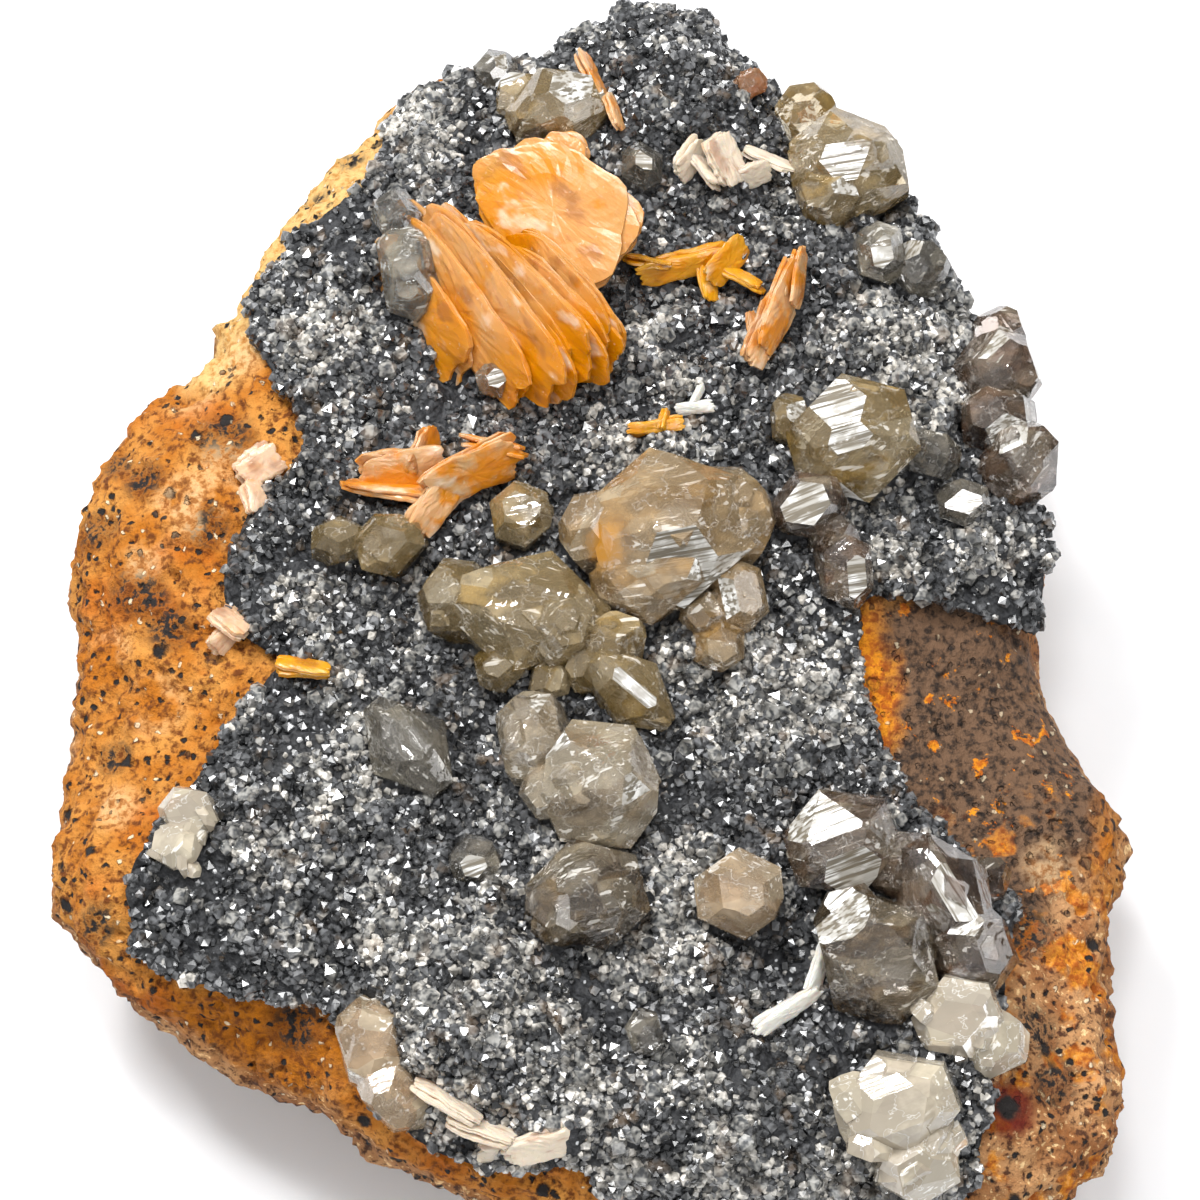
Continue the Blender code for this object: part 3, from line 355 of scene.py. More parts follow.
print("the floor is pale and the sky is graded")

# %% [markdown]
# ## Mesh helpers
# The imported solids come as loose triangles, so a copy is merged before anything is done to it. Noise then
# moves its corners in and out, after a subdivision has made them close enough.


# %% Copies, displacement and joining
def finished(name, shape, material, slot, *nodes):
    """A finished piece from a bmesh: it gets its material, rides on the stone and may stand for solids."""
    bmesh.ops.recalc_face_normals(shape, faces=shape.faces)
    mesh = bpy.data.meshes.new(name)
    shape.to_mesh(mesh)
    shape.free()
    return settled(name, mesh, material, slot, *nodes)


def settled(name, mesh, material, slot, *nodes):
    """The object for a finished mesh."""
    piece = bpy.data.objects.new(name, mesh)
    scene.collection.objects.link(piece)
    marks = np.zeros(len(mesh.polygons), dtype=np.int32)
    mesh.polygons.foreach_get("material_index", marks)
    mesh.materials.clear()
    for one in material if isinstance(material, list) else [material]:
        mesh.materials.append(one)
    mesh.polygons.foreach_set("material_index", marks)
    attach(piece, "root")
    if nodes:
        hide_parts(*nodes)
    mesh.calc_loop_triangles()
    print(name, "has", len(mesh.loop_triangles), "triangles")
    return piece


def merged_copy(node):
    """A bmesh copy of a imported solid, its loose triangles merged."""
    shape = bmesh.new()
    shape.from_mesh(frame["nodes"][node].data)
    bmesh.ops.remove_doubles(shape, verts=shape.verts, dist=0.001 * MM)
    return shape


def refined(shape, levels):
    """The mesh of a shape after smooth subdivision."""
    mesh = bpy.data.meshes.new("refined")
    shape.to_mesh(mesh)
    shape.free()
    holder = bpy.data.objects.new("refined", mesh)
    scene.collection.objects.link(holder)
    smooth = holder.modifiers.new("smooth", "SUBSURF")
    smooth.levels = levels
    smooth.render_levels = levels
    bpy.context.view_layer.update()
    result = bpy.data.meshes.new_from_object(holder.evaluated_get(bpy.context.evaluated_depsgraph_get()))
    bpy.data.objects.remove(holder)
    bpy.data.meshes.remove(mesh)
    return result


def displaced(mesh, amount):
    """Move each corner along its normal by amount(place in millimetres, normal), in millimetres."""
    corners = [(corner.co.copy(), corner.normal.copy()) for corner in mesh.vertices]
    moved = [co + normal * amount(co / MM, normal) * MM for co, normal in corners]
    mesh.vertices.foreach_set("co", np.array(moved, dtype=np.float32).ravel())
    mesh.update()


def solid_tree(*nodes):
    """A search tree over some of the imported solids."""
    shape = bmesh.new()
    for node in nodes:
        shape.from_mesh(frame["nodes"][node].data)
    tree = BVHTree.FromBMesh(shape)
    shape.free()
    return tree


ground = solid_tree("matrix_rock", "drusy_crust")
GROUND_SAMPLES = 8
GROUND_REACH = 2.4 * MM
RAY_START = 100 * MM
LOWEST_GROUND = 10 * MM
FIRST_GUESS = 28 * MM
SIGHT_ROUNDS = 8


def ground_height(x, y):
    """How high the crust or rock stands, averaged over a small ring, or None off the stone."""
    found = []
    for i in range(GROUND_SAMPLES):
        around = math.tau * i / GROUND_SAMPLES
        across = x + GROUND_REACH * math.cos(around)
        along = y + GROUND_REACH * math.sin(around)
        start = Vector((across, along, RAY_START))
        hit = ground.ray_cast(start, Vector((0, 0, -1)))[0]
        if hit and hit.z > LOWEST_GROUND:
            found.append(hit.z)
    return sum(found) / len(found) if found else None


def on_ground(place, lift):
    """The point at a lift over the ground, in millimetres, that is seen at a place in the picture."""
    height = FIRST_GUESS
    for _ in range(SIGHT_ROUNDS):
        spot = at_height(place, height)
        under = ground_height(spot.x, spot.y)
        if under is None:
            break
        height = (height + (under + lift * MM)) / 2
    return at_height(place, height)


def flat_spot(place, height):
    """The point seen at a place in the picture, in millimetres, to lay the middle of a patch on."""
    return tuple(at_height(place, height * MM) / MM)


print("the ground stands", round(ground_height(0, 0) / MM, 1), "mm high in the middle")

# %% [markdown]
# ## The matrix rock
# Limonite-stained rock: soft and grainy, full of pits, with dark spots that are partly sooty manganese and
# partly painted shade in small pits. Its form comes from the imported solid, smoothed and then roughened:
# swellings, crags on the steep sides, grains, and pits that are pushed in where a cell pattern says so. What
# is smaller than half a millimetre is left to the material.

# %% The rock's surface
ROCK_LEVELS = 3
PIT_CELL = 2.3
PIT_SHARE = 0.34
PIT_DEPTH = 0.75
PIT_RADIUS = 0.62
BROWN_FACE = Vector(flat_spot((985, 735), 22))
BROWN_REACH = (12.0, 16.5)
BROWN_EDGE = 1.15
BROWN_FADE = 0.3
UNDERSIDE = -0.6
STEEP_SIDE = 0.5


def in_brown_face(place):
    """How much a place belongs to the smooth brown face, 0 to 1."""
    away = math.hypot((place.x - BROWN_FACE.x) / BROWN_REACH[0], (place.y - BROWN_FACE.y) / BROWN_REACH[1])
    return min(1.0, max(0.0, (BROWN_EDGE - away) / BROWN_FADE))


def rock_relief(place, normal):
    """The rock's roughness at a place."""
    if normal.z < UNDERSIDE:
        return 0.0
    flat = in_brown_face(place)
    calm = 1 - 0.5 * flat
    swell = 0.7 * noise.noise(place / 4.2)
    if normal.z < STEEP_SIDE:
        swell += 1.6 * (0.28 - abs(noise.noise(place / 6.5)))
    grain = 0.55 * noise.noise(place / 1.6) + 0.42 * noise.noise(place / 0.85)
    distances, points = noise.voronoi(place / PIT_CELL)
    away = distances[0] * PIT_CELL
    chance = noise.cell(points[0] * 7.3)
    pit = 0.0
    if chance < PIT_SHARE * (1 - flat) and away < PIT_RADIUS:
        pit = PIT_DEPTH * (1 - (away / PIT_RADIUS) ** 2)
    return (swell + grain - pit) * calm


rock_mesh = refined(merged_copy("matrix_rock"), ROCK_LEVELS)
displaced(rock_mesh, rock_relief)
print("the rock has", len(rock_mesh.vertices), "corners")

# %% [markdown]
# ### Its colours
# Iron gives ochre on the left, a deep yellow in the near pocket, dark brown goethite on the right face, and
# tan on the side that is broken fresh. Each zone is a soft patch with a ragged edge, over a mottled ochre.

# %% The rock's finish
sheet = Sheet("ochre_rock")
place = sheet.place()
ragged = sheet.warped(place, 3.2, 5.0)
fine = sheet.noise(place, 0.8, 5.0, 0.6)
blotch = sheet.noise(place, 5.0, 4.0)
broad = sheet.noise(place, 12.0, 3.0)
height = sheet.node("ShaderNodeSeparateXYZ", {}, {0: ragged}, out=2)

ochre = sheet.mix(blotch.step(0.35, 0.65), paint(184, 108, 22), paint(210, 144, 66))
ochre = sheet.mix(broad.step(0.5, 0.7), ochre, paint(188, 96, 16))
ochre = sheet.mix(fine.step(0.46, 0.66), ochre, paint(110, 58, 16))

pale = sheet.mix(fine.step(0.4, 0.7), paint(232, 190, 122), paint(186, 130, 58))
tan = sheet.mix(blotch.step(0.4, 0.62), paint(196, 146, 98), paint(156, 100, 56))
tan = sheet.mix(fine.step(0.50, 0.64), tan, paint(84, 52, 34))
tan = sheet.mix(fine.step(0.42, 0.34), tan, paint(244, 206, 150))
deep = sheet.mix(fine.step(0.4, 0.66), paint(184, 108, 8), paint(118, 62, 10))
brown = sheet.mix(fine.step(0.42, 0.66), paint(112, 84, 62), paint(40, 29, 22))

ZONES = [
    # colour, place in the picture, height, reach along x, y, z, softness of its edge
    (pale, (325, 170), 26, (15, 15, 30), 0.2),
    (pale, (240, 320), 26, (4, 4, 30), 0.4),
    (tan, (1055, 1010), 22, (10, 21, 30), 0.2),
    (tan, (240, 1075), 15, (21, 7, 9), 0.3),
    (deep, (255, 1008), 24, (12, 4.6, 12), 0.3),
    (brown, (992, 738), 22, (13.0, 16.5, 30), 0.14),
]
colour = ochre
for zone, middle, stands, reach, softness in ZONES:
    colour = sheet.mix(sheet.patch(ragged, flat_spot(middle, stands), reach, softness), colour, zone)
TAN_BELOW = (22.0, 18.0)
BROWN_BELOW = (9.0, 5.0)
colour = sheet.mix(height.step(*TAN_BELOW), colour, tan)
colour = sheet.mix(height.step(*BROWN_BELOW), colour, brown)
print("the rock's zones are laid out")

# %% The rock's spots, flecks and pits
orange = sheet.mix(fine.step(0.4, 0.6), paint(226, 142, 20), paint(176, 88, 8))
strips = sheet.patch(ragged, flat_spot((878, 682), 24), (4.2, 8.8, 30), 0.3)
flecks = sheet.noise(place, 2.6, 5.0, 0.65).step(0.595, 0.63)
near_brown = sheet.patch(ragged, flat_spot((985, 760), 22), (13, 19, 30), 0.2)
near_tan = sheet.patch(ragged, flat_spot((1050, 1000), 22), (11, 20, 30), 0.3)
stains = sheet.noise(place, 4.2, 4.0).step(0.52, 0.60) * near_tan * 0.8
colour = sheet.mix(strips.larger(flecks * near_brown).larger(stains), colour, orange)

# Dark specks and patches: partly sooty manganese, partly painted shade in small pits and holes; the bump
# dips at the specks.
soot_and_pit_shade = paint(40, 36, 35)
tight = sheet.warped(place, 0.7, 0.9)
specks = sheet.spots(tight, 1.05, 0.40, 0.34).larger(sheet.spots(tight, 2.7, 0.30, 0.30))
colour = sheet.mix(specks * (1 - near_brown * 0.8), colour, soot_and_pit_shade)
SOOT_AND_PIT_SHADE_PATCHES = [
    # place in the picture, reach
    ((231, 442), 2.6), ((122, 455), 1.4), ((150, 480), 1.8), ((100, 520), 1.8), ((143, 590), 2.2),
    ((175, 630), 2.0), ((215, 535), 2.0), ((118, 745), 1.5), ((100, 915), 1.7), ((160, 600), 1.5),
    ((1040, 1022), 2.2), ((1063, 1070), 2.0), ((1030, 920), 2.6), ((990, 1030), 1.6), ((355, 140), 1.2),
    ((320, 180), 1.0), ((300, 1010), 2.4),
]
for middle, reach in SOOT_AND_PIT_SHADE_PATCHES:
    near = sheet.patch(tight, flat_spot(middle, 25), (reach, reach, 12), 0.5)
    colour = sheet.mix(near * fine.step(0.58, 0.42), colour, soot_and_pit_shade)
SUGARY_PATCHES = [
    ((215, 520), 3.6), ((185, 500), 2.2), ((235, 470), 2.4), ((195, 385), 2.2), ((150, 560), 1.8),
    ((110, 640), 2.0), ((160, 700), 2.4), ((120, 800), 2.0), ((245, 345), 2.6), ((180, 920), 2.4),
    ((1060, 850), 2.4),
]
sugar = sheet.mix(fine.step(0.42, 0.6), paint(236, 196, 146), paint(190, 126, 66))
for middle, reach in SUGARY_PATCHES:
    near = sheet.patch(tight, flat_spot(middle, 25), (reach, reach, 14), 0.6)
    colour = sheet.mix(near * blotch.step(0.42, 0.60) * 0.55, colour, sugar)
RED_SPOT = (1010, 1110)
red = sheet.patch(tight, flat_spot(RED_SPOT, 23), (2.4, 2.4, 12), 0.3)
colour = sheet.mix(red * 0.85, colour, paint(110, 26, 14))
colour = sheet.mix(sheet.patch(tight, flat_spot(RED_SPOT, 23), (1.1, 1.1, 12), 0.3), colour, soot_and_pit_shade)

# Pale specks on small glossy, raised grains: painted glints, that is painted highlights.
grain_and_painted_glint = sheet.spots(tight, 0.95, 0.16, 0.30) * (1 - near_brown * 0.45)
colour = sheet.mix(grain_and_painted_glint * 0.8, colour, paint(250, 228, 190))
roughness = 0.92 - grain_and_painted_glint * 0.5 - near_brown * 0.15
relief = fine * 0.8 + sheet.noise(place, 0.35, 3.0) * 0.4 - specks * 1.2 + grain_and_painted_glint * 0.5
surface = sheet.principled(
    base_color=colour, roughness=roughness, normal=sheet.bump(relief, 1.0, 0.55), specular_ior_level=0.35,
)
settled("ochre_rock", rock_mesh, sheet.finish(surface), "matrix_rock", "matrix_rock")
rock_mesh.shade_smooth()

# %% [markdown]
# ## The dark crust
# Galena, altering to cerussite, makes a dark crust of rounded lumps. Its solid is smoothed and pushed into
# lumps and knobs. Where it stays bare it is a dull blue-black, and elsewhere grains will cover it.

# %% The crust's surface
CRUST_LEVELS = 3
LUMP_CELL = 4.4
KNOB_HEIGHT = 1.7
HOLLOW_DEPTH = 1.3
OVERHANG = -0.2


def crust_relief(place, normal):
    """The crust's knobs and roughness at a place."""
    if normal.z < OVERHANG:
        return 0.0
    distances = noise.voronoi(place / LUMP_CELL)[0]
    knob = KNOB_HEIGHT * (0.5 - distances[0])
    height = knob + 1.25 * noise.noise(place / 2.4) + 0.4 * noise.noise(place / 1.0)
    return height if height > 0 else height * HOLLOW_DEPTH


crust_mesh = refined(merged_copy("drusy_crust"), CRUST_LEVELS)
displaced(crust_mesh, crust_relief)

sheet = Sheet("dark_crust")
place = sheet.place()
fine = sheet.noise(place, 0.7, 5.0, 0.65)
blotch = sheet.noise(place, 4.0, 3.0)
colour = sheet.mix(fine.step(0.35, 0.7), paint(14, 15, 17), paint(64, 65, 68))
colour = sheet.mix(blotch.step(0.45, 0.7), colour, paint(36, 37, 40))
# Pale specks on the bare crust: painted glints, a painted sparkle.
grain_and_painted_glint = sheet.spots(sheet.warped(place, 0.5, 0.4), 0.6, 0.22, 0.34)
colour = sheet.mix(grain_and_painted_glint, colour, paint(196, 198, 200))
cells = sheet.node("ShaderNodeTexVoronoi", {}, {"Vector": place, "Scale": 1 / 0.6})
surface = sheet.principled(
    base_color=colour, roughness=0.55 - grain_and_painted_glint * 0.3, normal=sheet.bump(fine + cells * 0.8, 0.8, 0.3),
)
settled("dark_crust", crust_mesh, sheet.finish(surface), "drusy_crust", "drusy_crust")
crust_mesh.shade_smooth()

# %% [markdown]
# ## Where the crust is bright, dark or covered
# The grains differ from place to place: pale sugary drifts, bare dark patches, hollows and crevices between
# lumps that are darkened as painted shade, and nothing under a large crystal. Each corner of the crust gets
# one number for each kind of grain, worked out from the place where the corner is seen and from a ray that
# looks straight up for a crystal above it.


# %% Shares of the grain kinds
def seen_at(point):
    """The place in the picture where a point is seen."""
    away = point - EYE
    depth = away.y * cosine - away.z * sine
    scale = EYE_DISTANCE / PICTURE_UNIT / depth
    return PICTURE_MIDDLE + away.x * scale, PICTURE_MIDDLE - (away.y * sine + away.z * cosine) * scale


# Circles in the picture: place of the middle, reach.
PALE_DRIFTS = [
    (495, 985, 95), (440, 1090, 60), (905, 375, 85), (955, 325, 50), (985, 545, 50), (815, 690, 75),
    (700, 690, 60), (760, 640, 40), (345, 750, 70), (330, 325, 60), (600, 880, 55), (690, 400, 40),
    (650, 330, 25), (700, 1075, 50), (905, 560, 40), (880, 490, 50), (690, 880, 50), (790, 190, 40),
    (420, 130, 50), (640, 930, 70), (560, 1085, 60), (915, 1160, 60), (270, 860, 40), (300, 600, 35),
    (630, 450, 50), (420, 620, 45), (430, 1125, 45), (520, 1155, 50), (600, 1165, 45), (740, 1175, 60),
    (830, 1185, 45), (400, 960, 50),
]
# Hollows where the grains thin out and leave the black crust bare: painted shade.
SHADED_HOLLOWS = [
    (245, 600, 48), (838, 640, 42), (350, 218, 55), (215, 945, 36), (300, 725, 60),
    (785, 960, 45), (592, 1010, 36), (690, 790, 36), (205, 880, 50), (860, 1060, 55), (440, 400, 40),
    (300, 560, 36), (1000, 590, 40), (740, 1060, 45), (470, 150, 40),
]
COVER_REACH = 1.3 * MM
RAY_LIFT = 0.05 * MM
LUMP_EDGE = 0.42

growths = solid_tree(*[node for node in frame["nodes"] if node not in ("matrix_rock", "drusy_crust")])


def nearness(spot, circles):
    """1 in the middle of the nearest circle, 0 outside all of them."""
    best = 0.0
    for x, y, reach in circles:
        best = max(best, 1.3 - math.hypot(spot[0] - x, spot[1] - y) / reach)
    return min(1.0, max(0.0, best))


def drift_and_hollow(corner):
    """How pale, how bare and darkened by painted shade, and how open the crust is at a corner, each 0 to 1.
    """
    cloud = 0.5 + 0.5 * noise.noise(corner.co / MM / 4.2)
    # The crevices between lumps lose pale grains and show more bare black crust: painted shade.
    between_lumps = max(0.0, noise.voronoi(corner.co / MM / LUMP_CELL)[0][0] - LUMP_EDGE)
    spot = seen_at(corner.co)
    drift = 1.1 * nearness(spot, PALE_DRIFTS) + 1.5 * (cloud - 0.45)
    pale = min(1.0, max(0.0, drift - 1.3 * between_lumps))
    hollow = nearness(spot, SHADED_HOLLOWS) + 0.8 * (0.32 - cloud)
    bare_and_shaded = min(1.0, max(0.0, hollow + 0.9 * between_lumps))
    low = corner.co + Vector((0, 0, RAY_LIFT))
    hit = growths.ray_cast(low, Vector((0, 0, 1)), COVER_REACH)[0]
    upward = corner.normal.z > -0.15
    return pale, bare_and_shaded, 0.0 if hit or not upward else 1.0


SHARES = {
    "dark": lambda pale, bare_and_shaded, open_air: open_air * (1 - 0.6 * pale) * (1 - 0.72 * bare_and_shaded),
    "grey": lambda pale, bare_and_shaded, open_air: open_air * (0.22 + 0.65 * pale) * (1 - 0.85 * bare_and_shaded),
    "pale": lambda pale, bare_and_shaded, open_air: open_air * min(1.0, 0.01 + 1.1 * pale ** 1.6) * (1 - bare_and_shaded),
    "large": lambda pale, bare_and_shaded, open_air: open_air * (0.12 + 0.4 * pale) * (1 - bare_and_shaded),
    "white": lambda pale, bare_and_shaded, open_air: open_air * (0.05 + 0.34 * pale) * (1 - 0.7 * bare_and_shaded),
}
grounds = [drift_and_hollow(corner) for corner in crust_mesh.vertices]
for kind, share in SHARES.items():
    values = [share(*numbers) for numbers in grounds]
    attribute = crust_mesh.attributes.new(kind, "FLOAT", "POINT")
    attribute.data.foreach_set("value", values)
    print(kind, "grains: mean share", round(sum(values) / len(values), 2))

# %% [markdown]
# ## The druse
# Some twenty thousand tiny crystals cannot be placed by hand, and Geometry Nodes do it in one tree. Points
# are spread evenly over the crust, one crystal out of a few is set on each, turned and sized by chance, and
# all becomes plain mesh. One tree serves all kinds of grains through its named inputs.

# %% The grains' own shapes
GRAIN_SHAPES = 5
GRAIN_POINTS = 11
GOLDEN_ANGLE = 2.399963

chance = random.Random(11)
grain_store = bpy.data.collections.new("grain_shapes")
for number in range(GRAIN_SHAPES):
    shape = bmesh.new()
    for i in range(GRAIN_POINTS):
        turn_by = i * GOLDEN_ANGLE + chance.uniform(-0.3, 0.3)
        level = 1 - 2 * (i + 0.5) / GRAIN_POINTS
        ring = math.sqrt(1 - level * level)
        high = level * chance.uniform(0.9, 1.25)
        corner = Vector((math.cos(turn_by) * ring, math.sin(turn_by) * ring, high))
        shape.verts.new(corner * 0.5)
    bmesh.ops.convex_hull(shape, input=shape.verts[:])
    bmesh.ops.recalc_face_normals(shape, faces=shape.faces)
    grain_mesh = bpy.data.meshes.new(f"grain_{number}")
    shape.to_mesh(grain_mesh)
    print("a grain has", len(shape.faces), "triangles")
    shape.free()
    grain_store.objects.link(bpy.data.objects.new(f"grain_{number}", grain_mesh))


# %% The tree that spreads them
class Growth:
    """The nodes of one Geometry Nodes tree, made by one method."""

    def __init__(self, name, inputs):
        self.tree = bpy.data.node_groups.new(name, "GeometryNodeTree")
        self.ids = {}
        for title, kind in inputs.items():
            socket = self.tree.interface.new_socket(title, in_out="INPUT", socket_type=kind)
            self.ids[title] = socket.identifier
        self.tree.interface.new_socket("Geometry", in_out="OUTPUT", socket_type="NodeSocketGeometry")
        self.start = self.tree.nodes.new("NodeGroupInput")

    def given(self, title):
        """The socket of one of the tree's inputs."""
        return self.start.outputs[title]

    def node(self, kind, settings=None, sockets=None, out=0):
        """Add a node with its settings and its sockets' values or links, and return one of its outputs."""
        made = self.tree.nodes.new(kind)
        for name, value in (settings or {}).items():
            setattr(made, name, value)
        for name, value in (sockets or {}).items():
            if isinstance(value, bpy.types.NodeSocket):
                self.tree.links.new(value, made.inputs[name])
            else:
                made.inputs[name].default_value = value
        return made.outputs[out]


GRAIN_INPUTS = {
    "Geometry": "NodeSocketGeometry", "Grains": "NodeSocketCollection", "Kind": "NodeSocketString",
    "Spacing": "NodeSocketFloat", "Smallest": "NodeSocketFloat", "Largest": "NodeSocketFloat",
    "Seed": "NodeSocketInt", "Finish": "NodeSocketMaterial",
}
MOST_GRAINS = 4e6  # for each square metre, before those that stand too close are left out
druse = Growth("druse", GRAIN_INPUTS)
share = druse.node("GeometryNodeInputNamedAttribute", {"data_type": "FLOAT"}, {"Name": druse.given("Kind")})
points = druse.node(
    "GeometryNodeDistributePointsOnFaces", {"distribute_method": "POISSON"},
    {"Mesh": druse.given("Geometry"), "Distance Min": druse.given("Spacing"), "Density Max": MOST_GRAINS,
     "Density Factor": share, "Seed": druse.given("Seed")},
)
grains = druse.node(
    "GeometryNodeCollectionInfo", {},
    {"Collection": druse.given("Grains"), "Separate Children": True, "Reset Children": True},
)
any_turn = druse.node(
    "FunctionNodeRandomValue", {"data_type": "FLOAT_VECTOR"},
    {0: (0, 0, 0), 1: (math.tau,) * 3, "Seed": druse.given("Seed")},
)
any_size = druse.node(
    "FunctionNodeRandomValue", {"data_type": "FLOAT"},
    {2: druse.given("Smallest"), 3: druse.given("Largest"), "Seed": 7}, out=1,
)
spread = druse.node(
    "GeometryNodeInstanceOnPoints", {},
    {"Points": points, "Instance": grains, "Pick Instance": True, "Rotation": any_turn, "Scale": any_size},
)
plain = druse.node("GeometryNodeRealizeInstances", {}, {"Geometry": spread})
painted = druse.node("GeometryNodeSetMaterial", {}, {"Geometry": plain, "Material": druse.given("Finish")})
end = druse.tree.nodes.new("NodeGroupOutput")
druse.tree.links.new(painted, end.inputs[0])


def grown(name, ground_mesh, kind, spacing, sizes, seed, material):
    """One piece of grains over a surface. Spacing and sizes are in millimetres."""
    holder = bpy.data.objects.new("holder", ground_mesh)
    scene.collection.objects.link(holder)
    growing = holder.modifiers.new("druse", "NODES")
    growing.node_group = druse.tree
    given = {"Grains": grain_store, "Kind": kind, "Spacing": spacing * MM, "Smallest": sizes[0] * MM,
             "Largest": sizes[1] * MM, "Seed": seed, "Finish": material}
    for title, value in given.items():
        growing[druse.ids[title]] = value
    bpy.context.view_layer.update()
    mesh = bpy.data.meshes.new_from_object(holder.evaluated_get(bpy.context.evaluated_depsgraph_get()))
    bpy.data.objects.remove(holder)
    for attribute in [a.name for a in mesh.attributes if a.name in SHARES]:
        mesh.attributes.remove(mesh.attributes[attribute])
    return settled(name, mesh, material, "drusy_crust")


# %% [markdown]
# ### The grains' finishes
# The grains are small mirrors: a colour that changes from one to the next, a smooth surface and the high
# refractive index of cerussite, which makes them flash. Few of them are clear enough to see through at this
# size, so they stay opaque, and that keeps the picture clean and quick.


# %% The kinds of grains
def grain_finish(name, darkest, lightest, rough):
    """The finish of one kind of grain: a colour for each grain, between two."""
    sheet = Sheet(name)
    place = sheet.place()
    each = sheet.noise(place, 0.55, 1.0)
    colour = sheet.mix(each.step(0.32, 0.68), darkest, lightest)
    stain = sheet.noise(place, 3.0, 1.0).step(0.60, 0.72)
    colour = sheet.mix(stain * 0.25, colour, paint(168, 138, 104))
    # Grains are darkened in clumps about 2 mm across: painted shade that stands in for the shade of the
    # crust's hollows.
    painted_lightness = sheet.noise(place, 2.0, 2.0).step(0.34, 0.58)
    colour = sheet.mix((1 - painted_lightness) * 0.75, colour, paint(6, 6, 8))
    surface = sheet.principled(base_color=colour, roughness=rough + painted_lightness * 0.12, ior=1.95)
    return sheet.finish(surface)


GRAIN_KINDS = [
    # kind, spacing, smallest and largest, darkest and lightest colour, roughness
    ("dark", 0.46, (0.6, 1.45), paint(10, 11, 12), paint(98, 99, 101), 0.17),
    ("grey", 0.44, (0.55, 1.3), paint(60, 60, 61), paint(172, 169, 163), 0.15),
    ("pale", 0.36, (0.5, 1.25), paint(150, 146, 138), paint(236, 230, 220), 0.14),
    ("large", 1.2, (1.3, 2.1), paint(70, 72, 74), paint(176, 174, 168), 0.06),
    # The white grains are partly pale micro-crystals and partly painted glints: near-white specks for
    # flashes of light.
    ("white", 0.40, (0.3, 0.7), paint(196, 197, 198), paint(255, 255, 255), 0.12),
]
FIRST_SEED = 3
for number, (kind, spacing, sizes, darkest, lightest, rough) in enumerate(GRAIN_KINDS):
    material = grain_finish(f"{kind}_grain", darkest, lightest, rough)
    grown(f"druse_{kind}_grains", crust_mesh, kind, spacing, sizes, number + FIRST_SEED, material)
for kind in SHARES:
    crust_mesh.attributes.remove(crust_mesh.attributes[kind])

# %% [markdown]
# ## Cerussite crystals
# Each crystal is a block cut by its faces: six prism faces, rings of pyramid faces and two ends. Real
# cerussite grows in steps and is finely grooved, so its faces are cut up small and moved in and out in
# levels along the crystal's own axis. Crystals that have grown together stay in one piece.

# %% The table of crystals
STEEP_PYRAMID = 54.7
LOW_PYRAMID = 35.5
FACE_JITTER = 0.09
LARGE_CRYSTAL = 8.5

